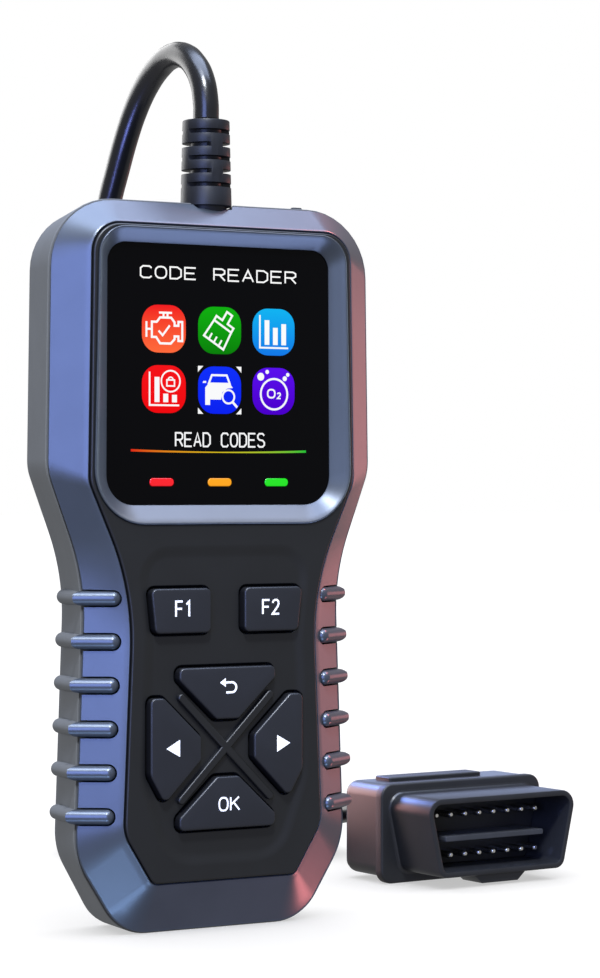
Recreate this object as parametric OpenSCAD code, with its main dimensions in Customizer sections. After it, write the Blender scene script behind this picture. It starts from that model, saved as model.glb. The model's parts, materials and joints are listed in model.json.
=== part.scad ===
// Handheld OBD code reader: a bevelled two-part case with a colour screen and six keys,
// a cable out of its top end and a 16-way plug on the cable. It stands on its foot, its face
// towards -Y. The origin is the middle of the reader's footprint, on the surface it stands on.

/* [Case] */
// Height of the case
body_h = 146.2; // [140:0.1:190]
// Width across the head, at the parting line
head_w = 74; // [68:0.5:92]
// Width across the waist, at the parting line
waist_w = 58; // [56:0.5:70]
// Width across the grip, at the parting line
grip_w = 62; // [60:0.5:76]
// Width of the flat foot
base_w = 42; // [38:0.5:46]
// Thickness from the key tops to the back
body_t = 21.4; // [20:0.1:28]
// Depth of the front shell, from the key tops to the parting line
front_t = 6.9; // [6.6:0.1:8]
// Wall thickness of both shells
wall = 1.8; // [1.4:0.1:2.4]
// Height of the head's lower corner below the top
head_len = 53.9; // [50:0.5:60]
// Inward draft of the back shell
back_draft = 1.2; // [0.5:0.1:2]
// Rounding of the back edge
back_round = 2.5; // [1.5:0.1:3]

/* [Front bevel] */
// Width of the bevel at the sides of the head
bevel_head = 6.9; // [6:0.1:8]
// Width of the bevel at the waist and the grip
bevel_grip = 8.2; // [7:0.1:9]
// Width of the bevel at the top
bevel_top = 4.8; // [4:0.1:6]
// Width of the bevel at the foot
bevel_foot = 10; // [8:0.5:12]

/* [Grip ribs] */
// Ribs on each side
rib_count = 6; // [3:1:6]
// Spacing of the ribs
rib_pitch = 8.6; // [7:0.1:9]
// Height of the lowest rib
rib_low = 24.1; // [22:0.1:26]
// Radius of a rib
rib_r = 1.5; // [1:0.1:1.8]

/* [Face] */
// Thickness of the face panel
panel_t = 1.2; // [1:0.1:1.3]
// Gap round the face panel
panel_gap = 0.1; // [0.1:0.05:0.3]
// Lip of the front shell outside the panel
panel_lip = 0.4; // [0.3:0.1:0.8]
// How far the screen bezel stands out of the panel
bezel_up = 0.4; // [0.2:0.1:0.5]
// Strip of panel outside the bezel
bezel_gap = 1.0; // [0.8:0.1:2]
// Width of the bezel's frame at its sides
frame_side = 3.9; // [3:0.1:5]
// Height of the bezel
bezel_h = 58.9; // [54:0.1:60]
// Depth of the lens below the bezel's rim
lens_deep = 2.8; // [2:0.1:3]
// Thickness of the lens
lens_t = 1.2; // [0.8:0.1:1.4]

/* [Keys] */
// How far the keys stand out of the panel
key_up = 1.2; // [0.8:0.1:1.6]
// Gap round each key
key_gap = 0.5; // [0.3:0.05:0.8]
// Travel of a key
key_travel = 1.0; // [0.5:0.1:1.2]
// Height of the middle of the four pad keys
pad_z = 37; // [35:0.5:39]
// Height of the middle of the two function keys
function_z = 64.5; // [63:0.5:70]

/* [Inside] */
// Thickness of the main board
board_t = 1.6; // [1:0.1:2]
// Distance from the wall outline to the board's edge
board_edge = 7; // [6:0.5:9]
// Radius of the case screw's shank
case_screw_r = 1.25; // [1:0.05:1.5]
// Radius of the board screw's shank
board_screw_r = 0.95; // [0.7:0.05:1.1]

/* [Cable] */
// Diameter of the cable
cable_d = 5.3; // [4.4:0.1:6]
// Outer radius of the strain relief at its foot
relief_r = 5.5; // [4.8:0.1:6]
// Length of the strain relief above the case
relief_len = 17.5; // [14:0.5:24]

/* [Plug] */
// Width of the plug's shroud at its top
shroud_w = 40.6; // [38:0.1:42]
// Width of the plug's housing
plug_w = 45.2; // [44:0.1:50]
// Height of the plug's housing
plug_h = 22.4; // [21.6:0.1:26]
// Length of the shroud in front of the flange
shroud_len = 15.2; // [13:0.1:20]
// Depth of the plug's housing behind the shroud
plug_depth = 16.4; // [14:0.1:26]
// Wall of the shroud
shroud_wall = 1.3; // [1:0.1:1.6]
// Radius of a contact
contact_r = 0.75; // [0.5:0.05:0.9]

/* [Hidden] */
$fn = 48;
eps = 0.01;

// Planes across the thickness, from the front to the back
y_key = -body_t / 2;
y_panel = y_key + key_up;
y_bezel = y_panel - bezel_up;
y_rim = y_panel + 0.5;
y_recess = y_panel + panel_t;
face_wall = 1.5;
y_wall = y_recess + face_wall;
y_lens = y_bezel + lens_deep;
y_lens_back = y_lens + lens_t;
y_ledge = y_lens_back + 1.2;
y_part = y_key + front_t;
y_board = y_ledge + 4.7;
y_board_back = y_board + board_t;
y_boss = y_board_back + 0.4;
y_back = body_t / 2;

// Rounded outlines: each corner is [across, up, radius], anticlockwise
corner_steps = 6;
function unit(v) = v / norm(v);
function turn_left(e) = [-e.y, e.x];
function flat(c) = [c.x, c.y];
function shorter(a) = a > 180 ? a - 360 : a < -180 ? a + 360 : a;
function arc(c, from, to, steps) =
    let (a = atan2(from.y - c.y, from.x - c.x), r = norm(from - c),
         sweep = shorter(atan2(to.y - c.y, to.x - c.x) - a))
    [for (i = [0:steps]) c + r * [cos(a + sweep * i / steps), sin(a + sweep * i / steps)]];
function fillet(before, at, after, r, steps) =
    let (u = unit(before - at), w = unit(after - at), half = acos(u * w) / 2,
         c = at + unit(u + w) * r / sin(half))
    arc(c, at + u * r / tan(half), at + w * r / tan(half), steps);
function outline(cs, steps = corner_steps) =
    let (n = len(cs))
    [for (i = [0:n - 1]) each fillet(flat(cs[(i + n - 1) % n]), flat(cs[i]),
                                     flat(cs[(i + 1) % n]), cs[i].z, steps)];
function both_sides(half) =
    concat(half, [for (i = [len(half) - 1:-1:0]) [-half[i].x, half[i].y, half[i].z]]);
// The same corners moved inwards by d, each with its radius to match
function inset(cs, d) =
    let (n = len(cs))
    [for (i = [0:n - 1])
        let (at = flat(cs[i]), e1 = unit(at - flat(cs[(i + n - 1) % n])),
             e2 = unit(flat(cs[(i + 1) % n]) - at), n1 = turn_left(e1), n2 = turn_left(e2),
             moved = at + (n1 + n2) * d / (1 + n1 * n2),
             convex = e1.x * e2.y - e1.y * e2.x > 0)
        [moved.x, moved.y, convex ? max(cs[i].z - d, 0.4) : cs[i].z + d]];
function shift(cs, dx, dz) = [for (c = cs) [c.x + dx, c.y + dz, c.z]];
function box_corners(x0, z0, x1, z1, r) = [[x0, z0, r], [x1, z0, r], [x1, z1, r], [x0, z1, r]];
function between(a, b, t) = a + (b - a) * t;
function blend(from, to, t) = [for (i = [0:len(from) - 1]) between(from[i], to[i], t)];

// A flat shape drawn across and up, given thickness from y0 to y1
module slab(y0, y1) {
    translate([0, y1, 0]) rotate([90, 0, 0]) linear_extrude(y1 - y0) children();
}
module plate(cs, y0, y1) {
    slab(y0, y1) polygon(outline(cs));
}
module block(x0, y0, z0, x1, y1, z1) {
    translate([x0, y0, z0]) cube([x1 - x0, y1 - y0, z1 - z0]);
}
module rod(x, z, r, y0, y1) {
    translate([x, y1, z]) rotate([90, 0, 0]) cylinder(r = r, h = y1 - y0);
}
// A solid through a stack of outlines that have equal numbers of points
module loft(rings, ys) {
    n = len(rings[0]);
    m = len(rings);
    points = [for (k = [0:m - 1]) each [for (p = rings[k]) [p.x, ys[k], p.y]]];
    sides = [for (k = [0:m - 2], i = [0:n - 1], half = [0, 1])
        let (a = k * n + i, b = k * n + (i + 1) % n)
        half == 0 ? [b + n, a + n, a] : [b, b + n, a]];
    front = [for (i = [n - 1:-1:0]) i];
    back = [for (i = [0:n - 1]) (m - 1) * n + i];
    polyhedron(points, concat([front], sides, [back]));
}
// A solid whose outline changes evenly from one to another, with both ends trimmed flat
module taper(from, to, y_from, y_to) {
    past = 0.2;
    run = (y_to - y_from) * past;
    intersection() {
        loft([outline(blend(to, from, 1 + past)), outline(blend(from, to, 1 + past))],
             [y_from - run, y_to + run]);
        block(-80, y_from, -20, 80, y_to, 2 * body_h);
    }
}

// Outlines of the case
head_hw = head_w / 2;
waist_hw = waist_w / 2;
grip_hw = grip_w / 2;
head_z = body_h - head_len;
waist_z = 71;
foot_z = 16;
part_cs = both_sides([[base_w / 2, 0, 11], [grip_hw, foot_z, 16], [waist_hw, waist_z, 44],
    [head_hw, head_z, 12], [head_hw - 0.8, body_h, 14]]);
rim_cs = both_sides([[base_w / 2 - 4.7, bevel_foot, 2.5],
    [grip_hw - bevel_grip, foot_z + 4.6, 8], [waist_hw - bevel_grip, waist_z - 2.7, 50],
    [head_hw - bevel_head + 0.3, head_z - 2.4, 7],
    [head_hw - 0.8 - bevel_head + 0.3, body_h - bevel_top, 6.5]]);
function on_foot(cs, z) = [for (c = cs) c.y < foot_z / 4 ? [c.x, z, c.z] : c];
function at_back(d) = on_foot(inset(part_cs, d), 0);

// Screen
bezel_hw = head_hw - bevel_head + 0.3 - bezel_gap;
bezel_top = body_h - bevel_top - 0.9;
bezel_low = bezel_top - bezel_h;
// The lower corners are rounded enough to leave a strip of panel between them and the rim
neck_run = unit(flat(rim_cs[3]) - flat(rim_cs[2]));
neck_past = (rim_cs[2].x - bezel_hw) * neck_run.y - (rim_cs[2].y - bezel_low) * neck_run.x;
bezel_r = max(6, (1.06 - neck_past) / (neck_run.x + neck_run.y - 1));
bezel_cs = both_sides([[bezel_hw, bezel_low, bezel_r], [bezel_hw - 1.4, bezel_top, 6]]);
glass_hw = bezel_hw - frame_side;
glass_cs = both_sides([[glass_hw, bezel_low + 3.8, 6], [glass_hw - 0.3, bezel_top - 3, 4]]);
led_z = bezel_low + 8.4;
led_x = 13.1;
led_w = 5.4;
led_h = 1.6;
view_hw = glass_hw - 4.4;
view_low = led_z + 4.6;
view_top = bezel_top - 11;

// Keys: each outline is centred on the key's own middle line
key_corner = 0.9;
f1_cs = [[-16.2, function_z - 4.5, key_corner], [-3.8, function_z - 4.5, key_corner],
    [-3.8, function_z + 4.4, key_corner], [-17.2, function_z + 4.4, key_corner]];
f2_cs = [for (i = [3:-1:0]) [-f1_cs[i].x, f1_cs[i].y, f1_cs[i].z]];
back_cs = both_sides([[2.5, pad_z + 5.7, key_corner], [10.9, pad_z + 13.7, key_corner],
    [10.9, pad_z + 16.1, key_corner]]);
ok_cs = both_sides([[10.9, pad_z - 16.2, key_corner], [10.9, pad_z - 13.7, key_corner],
    [2.5, pad_z - 5.8, key_corner]]);
right_cs = [[6, pad_z - 2.3, key_corner], [14.1, pad_z - 10.6, key_corner],
    [17.3, pad_z - 5, 3], [17.3, pad_z + 10.3, key_corner], [14.3, pad_z + 10.3, key_corner],
    [6, pad_z + 2.3, key_corner]];
left_cs = [for (i = [5:-1:0]) [-right_cs[i].x, right_cs[i].y, right_cs[i].z]];
key_outlines = [f1_cs, f2_cs, back_cs, ok_cs, left_cs, right_cs];
// Middle of each key, above its switch
key_at = [[-10.3, function_z], [10.3, function_z], [0, pad_z + 11.5], [0, pad_z - 11.5],
    [-12.2, pad_z], [12.2, pad_z]];

// Screws
case_screw_at = [for (s = [-1, 1]) each [[s * (head_hw - 6.6), body_h - 18.2],
    [s * (head_hw - 6.6), head_z + 4], [s * (base_w / 2 + 0.3), foot_z - 1.5]]];
board_screw_at = [[-14, body_h - 9.7], [14, body_h - 9.7], [-22, bezel_low + 5.4],
    [22, bezel_low + 5.4], [0, (function_z + bezel_low) / 2 + 1], [0, 13]];
case_boss_r = 3.2;
board_boss_r = 2.3;

// Strain relief and port in the top wall
relief_y = -1.2;
recess_z = body_h - 2.2;
neck_r = relief_r - 0.9;
port_x = 23;
port_y = y_board_back + 1.9;

// Cable route, chosen by hand: up out of the relief, over and down behind the case
upper_route = [[0, -1.2, 163.7], [0, -1.1, 167], [0, 0.4, 171.6], [0, 4, 175.6], [0, 8.6, 177.9],
    [0, 13.8, 178.4], [0, 19.3, 177], [0, 25, 174], [0, 30.4, 169.4], [0, 35, 163.8],
    [0, 39.4, 157], [0, 43, 151], [0.5, 48, 140], [1.5, 53, 126], [3, 57, 110], [4.5, 60, 92],
    [6, 62, 74], [8, 64, 56], [10.5, 66.5, 38], [13.5, 70.5, 22], [17.5, 77, 10],
    [21, 86, 4.2], [23.6, 95, 2.7], [24.35, 104, 2.65]];
// Out of the coil to the plug
lower_route = [[83.65, 104, 7.95], [83.6, 95, 8.2], [83.2, 86, 9.6], [82.8, 78, 10.9],
    [82.3, 69.6, 11.3]];
// Coil: two turns wide and two high
coil_at = [54, 104];
coil_r = 27;

// Plug
plug_at = [85.3, 24.05];
plug_turn = 3.8;
row_gap = 9;
contact_pitch = 4;
contact_z = 11.3;
v_rim = -6;
v_flange = v_rim + shroud_len;
v_back = v_flange + plug_depth;
shroud_top = 20.2;
shroud_low = 2.6;
shroud_cs = both_sides([[shroud_w / 2 - 4, shroud_low, 2.5], [shroud_w / 2, shroud_top, 3.4]]);
flange_cs = both_sides([[plug_w / 2, 0, 3], [plug_w / 2, plug_h, 3]]);
plug_relief_len = 20;

module in_plug() {
    translate([plug_at.x, plug_at.y, 0]) rotate([0, 0, plug_turn]) children();
}

// A bar with round ends, its axis from a to b, in the plane z = 0
module capsule(a, b, r) {
    d = norm(b - a);
    translate([a.x, a.y, 0]) rotate([0, 0, atan2(b.y - a.y, b.x - a.x)]) rotate([0, 90, 0])
        rotate_extrude() intersection() {
            union() {
                circle(r);
                translate([-r, 0]) square([2 * r, d]);
                translate([0, d]) circle(r);
            }
            translate([0, -r]) square([r, d + 2 * r]);
        }
}
function side_at(z) = between(grip_hw, waist_hw, (z - foot_z) / (waist_z - foot_z));
module each_rib() {
    for (s = [0, 1], i = [0:rib_count - 1]) mirror([s, 0, 0])
        translate([0, 0, rib_low + i * rib_pitch]) children();
}
module rib_bars(back) {
    for (s = [0, 1], i = [0:rib_count - 1])
        let (z = rib_low + i * rib_pitch, x = side_at(z) + 0.2,
             slope = unit([-bevel_grip, y_rim - y_part]))
        mirror([s, 0, 0]) translate([0, 0, z])
            if (back) capsule([x, y_part - 2], [x - 0.5, y_back - 4.5], rib_r);
            else capsule([x, y_part] - 2 * slope, [x, y_part] + 6.6 * slope, rib_r);
}

module shell_blocks(y0, y1) {
    block(-8.2, y0, recess_z - 2, 8.2, y1, body_h - wall + 0.4);
}
module top_holes() {
    translate([0, relief_y, recess_z]) cylinder(r = relief_r + 0.3, h = 6);
    translate([0, relief_y, recess_z - 6]) cylinder(r = neck_r + 0.1, h = 7);
}

module front_shell() {
    inner = blend(part_cs, rim_cs, (y_part - y_wall) / (y_part - y_rim));
    past_part = blend(rim_cs, part_cs, (y_part + 1 - y_rim) / (y_part - y_rim));
    color("#3a4152") difference() {
        union() {
            difference() {
                taper(rim_cs, part_cs, y_rim, y_part);
                taper(inset(inner, wall), inset(past_part, wall), y_wall, y_part + 1);
            }
            plate(inset(bezel_cs, -1.4), y_wall - 0.2, y_ledge);
            shell_blocks(y_wall + 0.2, y_part);
            for (p = case_screw_at) rod(p.x, p.y, case_boss_r, y_part - 2, y_boss);
            for (p = board_screw_at)
                rod(p.x, p.y, board_boss_r, y_wall - 0.4, y_board);
            intersection() {
                rib_bars(false);
                block(-50, y_rim - 5, 0, 50, y_part - eps, body_h);
            }
        }
        plate(inset(rim_cs, panel_lip), y_rim - 1, y_recess);
        plate(inset(bezel_cs, -0.1), y_rim - 1, y_lens_back);
        block(-view_hw - 0.5, y_lens, view_low - 0.5, view_hw + 0.5, y_ledge + 1, view_top + 0.5);
        for (x = [-led_x, 0, led_x]) light_guide_bore(x);
        for (cs = key_outlines) plate(inset(cs, -key_gap), y_rim - 1, y_wall + 0.5);
        top_holes();
        for (p = case_screw_at) rod(p.x, p.y, case_screw_r + 0.05, y_part - 1.2, y_boss + 1);
        for (p = board_screw_at) rod(p.x, p.y, board_screw_r + 0.05, y_board - 4, y_board + 1);
    }
}

module back_shell() {
    y_flank = y_back - back_round;
    y_turn = y_back - back_round * 0.3;
    flank_cs = at_back(back_draft);
    turn_cs = on_foot(at_back(back_draft + back_round * 0.3), 0.5);
    back_cs = on_foot(at_back(back_draft + back_round), back_round * 0.8);
    color("#34373d") difference() {
        union() {
            difference() {
                intersection() {
                    loft([outline(blend(flank_cs, part_cs, 1.1)), outline(flank_cs), outline(turn_cs),
                          outline(blend(turn_cs, back_cs, 1.2))],
                         [between(y_flank, y_part, 1.1), y_flank, y_turn,
                          between(y_turn, y_back, 1.2)]);
                    block(-80, y_part, -20, 80, y_back, 2 * body_h);
                }
                taper(inset(part_cs, wall), on_foot(inset(part_cs, wall + back_draft), wall),
                      y_part - 1, y_back - wall);
            }
            shell_blocks(y_part, 6.5);
            block(port_x - 6, port_y - 3.6, body_h - wall - 1.6, port_x + 6, port_y + 3.6,
                  body_h - wall + 0.2);
            for (p = case_screw_at) {
                rod(p.x, p.y, case_boss_r, y_boss, y_back - 1);
                rod(p.x, p.y, case_boss_r + 0.4, y_back - 4.7, y_back - 1);
            }
            intersection() {
                rib_bars(true);
                block(-50, y_part + eps, 0, 50, y_back, body_h);
            }
        }
        for (p = case_screw_at) {
            rod(p.x, p.y, case_screw_r + 0.25, y_boss - 1, y_back);
            rod(p.x, p.y, case_screw_r * 2 + 0.2, y_back - 3.5, y_back + 1);
        }
        top_holes();
        block(port_x - 4.7, port_y - 2.3, body_h - wall - 3, port_x + 4.7, port_y + 2.3, body_h + 1);
    }
}

module face_panel() {
    cs = inset(rim_cs, panel_lip + panel_gap);
    color("#16181b") difference() {
        union() {
            plate(cs, y_panel, y_recess);
            for (a = [-1, 1]) translate([0, 0, pad_z]) rotate([0, a * 44.5, 0])
                plate(box_corners(-0.6, -14.6, 0.6, 14.6, 0.55), y_panel - 0.6, y_panel + 0.4);
        }
        plate(inset(bezel_cs, -0.1), y_panel - 1, y_recess + 1);
        for (cs = key_outlines) plate(inset(cs, -key_gap), y_panel - 1, y_recess + 1);
    }
}

module screen_bezel() {
    color("#434a58") difference() {
        loft([outline(inset(bezel_cs, 0.35)), outline(bezel_cs), outline(bezel_cs)],
             [y_bezel, y_panel, y_lens]);
        loft([outline(inset(bezel_cs, 0.7)), outline(glass_cs), outline(glass_cs)],
             [y_bezel - 0.001, y_lens - 0.3, y_lens + 0.001]);
    }
}

module light_guide_bore(x) {
    plate(box_corners(x - led_w / 2 - 0.1, led_z - led_h / 2 - 0.1, x + led_w / 2 + 0.1,
                      led_z + led_h / 2 + 0.1, led_h / 2), y_lens - 1, y_ledge + 1);
}
module screen_lens() {
    color("#050507") difference() {
        plate(inset(bezel_cs, 0.1), y_lens, y_lens_back);
        for (x = [-led_x, 0, led_x]) light_guide_bore(x);
    }
}
module light_guide(x) {
    r = led_h / 2 - 0.05;
    plate(box_corners(x - led_w / 2, led_z - led_h / 2, x + led_w / 2, led_z + led_h / 2, r),
          y_lens, y_ledge + 0.5);
    plate(box_corners(x - led_w / 2 - 0.7, led_z - led_h / 2 - 0.7, x + led_w / 2 + 0.7,
                      led_z + led_h / 2 + 0.7, r), y_ledge, y_board - 0.9);
}
module light_guide_red() { color("#ff1a1a") light_guide(-led_x); }
module light_guide_amber() { color("#ffc400") light_guide(0); }
module light_guide_green() { color("#1fe81f") light_guide(led_x); }

module display_module() {
    color("#0b0d12") block(-view_hw - 2.5, y_ledge, view_low - 1.5, view_hw + 2.5, y_ledge + 1.5,
                           view_top + 4.5);
}
module backlight() {
    color("#e8e8e4") block(-view_hw - 2.5, y_ledge + 1.5, view_low - 1.5, view_hw + 2.5, y_board,
                           view_top + 4.5);
}

module main_board() {
    color("#14532d") difference() {
        plate(inset(part_cs, board_edge), y_board, y_board_back);
        for (p = case_screw_at) rod(p.x, p.y, case_boss_r + 0.6, y_board - 1, y_board_back + 1);
        for (p = board_screw_at)
            rod(p.x, p.y, board_screw_r + 0.25, y_board - 1, y_board_back + 1);
    }
}
module chip(x, z, w, h, t) {
    block(x - w / 2, y_board_back, z - h / 2, x + w / 2, y_board_back + t, z + h / 2);
}
module chips() {
    color("#222226") {
        chip(0, bezel_low + 23.4, 14, 14, 1.4);
        chip(-14.5, bezel_low + 23.9, 7, 7, 1.2);
        chip(11.5, bezel_low + 5.9, 7, 7, 2.3);
        chip(-3, function_z - 6, 12, 5, 1.2);
    }
}
module buzzer() {
    color("#1c1c1e") rod(0, pad_z - 1, 6, y_board_back, y_board_back + 4);
}
module indicator_leds() {
    color("#f2efe2") for (x = [-led_x, 0, led_x])
        block(x - 1.6, y_board - 0.8, led_z - 0.8, x + 1.6, y_board, led_z + 0.8);
}
module key_switches() {
    color("#8d9095") for (p = key_at) {
        block(p.x - 2.6, y_board - 1.6, p.y - 2.6, p.x + 2.6, y_board, p.y + 2.6);
        rod(p.x, p.y, 1.1, y_board - 2.2, y_board - 1.6);
    }
}
module key_mat() {
    color("#5b5f66") difference() {
        block(-19, y_board - 0.8, pad_z - 18.5, 19, y_board, function_z + 5.5);
        for (p = key_at) block(p.x - 3, y_board - 2, p.y - 3, p.x + 3, y_board + 1, p.y + 3);
        for (p = board_screw_at) rod(p.x, p.y, board_boss_r + 0.3, y_board - 2, y_board + 1);
    }
}

// A key: cap with a small edge bevel, retaining flange behind the face wall, and stem
module key(cs, at) {
    y_flange = y_wall + 0.05;
    y_stem = y_board - 2.2 - key_travel - 0.2;
    color("#1e2126") {
        loft([outline(inset(cs, 0.3), 4), outline(cs, 4), outline(cs, 4)],
             [y_key, y_key + 0.3, y_flange + 0.1]);
        plate(inset(cs, -key_gap - 0.8), y_flange, y_flange + 0.7);
        rod(at.x, at.y, 1.5, y_flange + 0.6, y_stem);
    }
}
module key_f1() { key(f1_cs, key_at[0]); }
module key_f2() { key(f2_cs, key_at[1]); }
module key_back() { key(back_cs, key_at[2]); }
module key_ok() { key(ok_cs, key_at[3]); }
module key_left() { key(left_cs, key_at[4]); }
module key_right() { key(right_cs, key_at[5]); }

module board_screws() {
    color("#b9bcc0") for (p = board_screw_at) {
        rod(p.x, p.y, board_screw_r, y_board - 3.4, y_board_back + 0.1);
        rod(p.x, p.y, 1.9, y_board_back, y_board_back + 1.2);
    }
}
module case_screws() {
    color("#8f9297") for (p = case_screw_at) {
        rod(p.x, p.y, case_screw_r, y_part - 0.8, y_back - 3.4);
        difference() {
            rod(p.x, p.y, case_screw_r * 2 - 0.1, y_back - 3.5, y_back - 1.9);
            block(p.x - 1.4, y_back - 2.6, p.y - 0.25, p.x + 1.4, y_back, p.y + 0.25);
            block(p.x - 0.25, y_back - 2.6, p.y - 1.4, p.x + 0.25, y_back, p.y + 1.4);
        }
    }
}

module port() {
    z0 = body_h - wall - 10.5;
    z1 = body_h - wall - 1.8;
    color("#c4c7ca") difference() {
        block(port_x - 3.9, y_board_back, z0, port_x + 3.9, y_board_back + 3.8, z1);
        block(port_x - 3.4, y_board_back + 0.5, z1 - 5, port_x + 3.4, y_board_back + 3.3, z1 + 1);
    }
}
module port_cover() {
    z1 = body_h - wall - 1.7;
    color("#101113") {
        block(port_x - 4.4, port_y - 2, z1, port_x + 4.4, port_y + 2, body_h - 0.8);
        block(port_x - 3.1, port_y - 1.1, z1 - 3, port_x + 3.1, port_y + 1.1, z1 + 0.1);
        block(port_x - 1.2, port_y - 2, body_h - 0.9, port_x + 1.2, port_y - 0.8, body_h + 0.3);
    }
}
module cable_header() {
    color("#e9e4d2") block(-6, y_board_back, body_h - 19, 6, y_board_back + 4.5, body_h - 12);
}

// Segmented strain relief: slots open in turn to the sides and to the front and back
slot_h = 0.9;
module relief_slot(r, turn) {
    rotate([0, 0, turn]) difference() {
        cylinder(r = r + 2, h = slot_h);
        translate([0, 0, -1]) cylinder(r = r * 0.6, h = slot_h + 2);
        translate([-1.3, -2 * r, -1]) cube([2.6, 4 * r, slot_h + 2]);
    }
}
module strain_relief() {
    top = body_h + relief_len;
    pitch = 2.65;
    color("#1a1b1e") translate([0, relief_y, 0]) difference() {
        union() {
            translate([0, 0, recess_z]) cylinder(r1 = relief_r, r2 = relief_r - 0.3, h = top - recess_z);
            translate([0, 0, recess_z - 2.1]) cylinder(r = neck_r, h = 2.2);
            block(-5.2, -3.3, recess_z - 3.3, 5.2, 4.2, recess_z - 2.1);
        }
        for (i = [0:4]) translate([0, 0, top - 2.3 - i * pitch]) relief_slot(relief_r, i % 2 * 90);
    }
}

// A tube swept along points: each ring stands across the route's own direction
tube_sides = 10;
function refine(p) = [for (i = [0:len(p) - 2]) each [for (t = [0, 0.5]) curve(p, i, t)], p[len(p) - 1]];
function curve(p, i, t) =
    let (n = len(p) - 1, a = p[max(i - 1, 0)], b = p[i], c = p[i + 1], d = p[min(i + 2, n)])
    0.5 * ((2 * b) + (c - a) * t + (2 * a - 5 * b + 4 * c - d) * t * t
           + (3 * b - a - 3 * c + d) * t * t * t);
function way(p, i) = unit(p[min(i + 1, len(p) - 1)] - p[max(i - 1, 0)]);
function ring(p, i, r, lead) =
    let (d = way(p, i), u = unit(cross(lead, d)), w = cross(d, u))
    [for (k = [0:tube_sides - 1]) p[i] + r * (cos(k * 360 / tube_sides) * u
                                              + sin(k * 360 / tube_sides) * w)];
module tube(route, r, lead) {
    p = refine(route);
    n = len(p);
    s = tube_sides;
    points = [for (i = [0:n - 1]) each ring(p, i, r, lead)];
    faces = [for (i = [0:n - 2], k = [0:s - 1], half = [0, 1])
        let (a = i * s + k, b = i * s + (k + 1) % s)
        half == 0 ? [a, a + s, b + s] : [a, b + s, b]];
    ends = [[for (k = [0:s - 1]) k], [for (k = [s - 1:-1:0]) (n - 1) * s + k]];
    polyhedron(points, concat(faces, ends));
}
module cable_upper() { color("#0e0f11") tube(upper_route, cable_d / 2, [1, 0, 0]); }
module cable_lower() { color("#0e0f11") tube(lower_route, cable_d / 2, [1, 0, 0]); }
module cable_coil() {
    color("#0e0f11") translate([coil_at.x, coil_at.y, 0]) rotate_extrude($fn = 96)
        translate([coil_r, 0]) difference() {
            translate([-cable_d, 0]) square([2 * cable_d, 2 * cable_d]);
            for (s = [-1, 1], z = [0, 2 * cable_d])
                translate([s * cable_d, z]) rotate(45) square(cable_d * 0.8, center = true);
        }
}
module coil_tie() {
    y0 = coil_at.y + coil_r;
    t = 0.8;
    color("#26282c") difference() {
        block(coil_at.x - 5, y0 - cable_d - t, 0, coil_at.x + 5, y0 + cable_d + t,
              2 * cable_d + t);
        block(coil_at.x - 6, y0 - cable_d + 0.3, t, coil_at.x + 6, y0 + cable_d,
              2 * cable_d + eps);
    }
}

// Front housing of the plug: flange and D-shaped shroud, with a clip ridge under it
module plug_front() {
    color("#17191c") in_plug() difference() {
        union() {
            plate(shroud_cs, v_rim, v_flange + 1);
            plate(flange_cs, v_flange, v_flange + 2.4);
            slab(-5, 2.5) polygon([[-7.6, shroud_low + 0.3], [-5, 0.6], [5, 0.6],
                                   [7.6, shroud_low + 0.3]]);
        }
        plate(inset(shroud_cs, shroud_wall), v_rim - 1, v_flange + 3);
    }
}
module plug_rear() {
    cs = both_sides([[plug_w / 2 - 0.4, 1.2, 3], [plug_w / 2 - 0.4, plug_h - 0.2, 3]]);
    y0 = v_flange + 2.4;
    color("#2b2d31") in_plug() difference() {
        loft([outline(cs), outline(cs), outline(inset(cs, 0.6)), outline(inset(cs, 2.4))],
             [y0, v_back - 3, v_back - 1, v_back]);
        plate(inset(cs, 1.8), y0 - 1, v_back - 2);
        rod(0, contact_z, 3.7, v_back - 3, v_back + 1);
        for (s = [-1, 1]) rod(s * 17, contact_z, 1.6, v_back - 3, v_back + 1);
    }
}
module plug_contact_block() {
    cs = inset(shroud_cs, shroud_wall);
    color("#121315") in_plug() difference() {
        union() {
            plate(cs, 6.5, v_flange + 2.4);
            block(-13.8, -3, contact_z - 1.1, 13.8, 7, contact_z + 0.1);
        }
        each_contact() rod(0, 0, contact_r, 6, v_flange + 3);
    }
}
module each_contact() {
    for (row = [-0.5, 0.5], i = [0:7])
        translate([(i - 3.5) * contact_pitch, 0, contact_z + row * row_gap]) children();
}
module plug_contacts() {
    color("#d9dce0") in_plug() each_contact() {
        rod(0, 0, contact_r, 0.5, v_flange + 4.2);
        translate([0, 0.5, 0]) rotate([90, 0, 0]) cylinder(r1 = contact_r, r2 = contact_r * 0.5, h = 0.5);
    }
}
module plug_board() {
    color("#14532d") in_plug() difference() {
        block(-17.5, v_flange + 2.6, 4, 17.5, v_flange + 4.2, 18.6);
        each_contact() rod(0, 0, contact_r, v_flange + 2, v_flange + 5);
    }
}
module plug_relief() {
    color("#1a1b1e") in_plug() translate([0, 0, contact_z]) rotate([-90, 0, 0]) difference() {
        union() {
            translate([0, 0, v_back]) cylinder(r1 = 5.2, r2 = 3.6, h = plug_relief_len);
            translate([0, 0, v_back - 2.1]) cylinder(r = 3.6, h = 2.2);
            translate([0, 0, v_back - 3.2]) cylinder(r = 4.6, h = 1.2);
        }
        for (i = [0:3]) translate([0, 0, v_back + 4 + i * 3.2]) relief_slot(4.6, i % 2 * 90);
    }
}
module plug_plate() {
    color("#1d1f23") in_plug() block(-16, v_flange + 6, plug_h - 0.2, 10, v_flange + 12,
                                     plug_h + 0.7);
}
module plug_screws() {
    color("#8f9297") in_plug() for (s = [-1, 1]) {
        rod(s * 17, contact_z, 1.5, v_back - 2, v_back - 0.4);
    }
}

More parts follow.
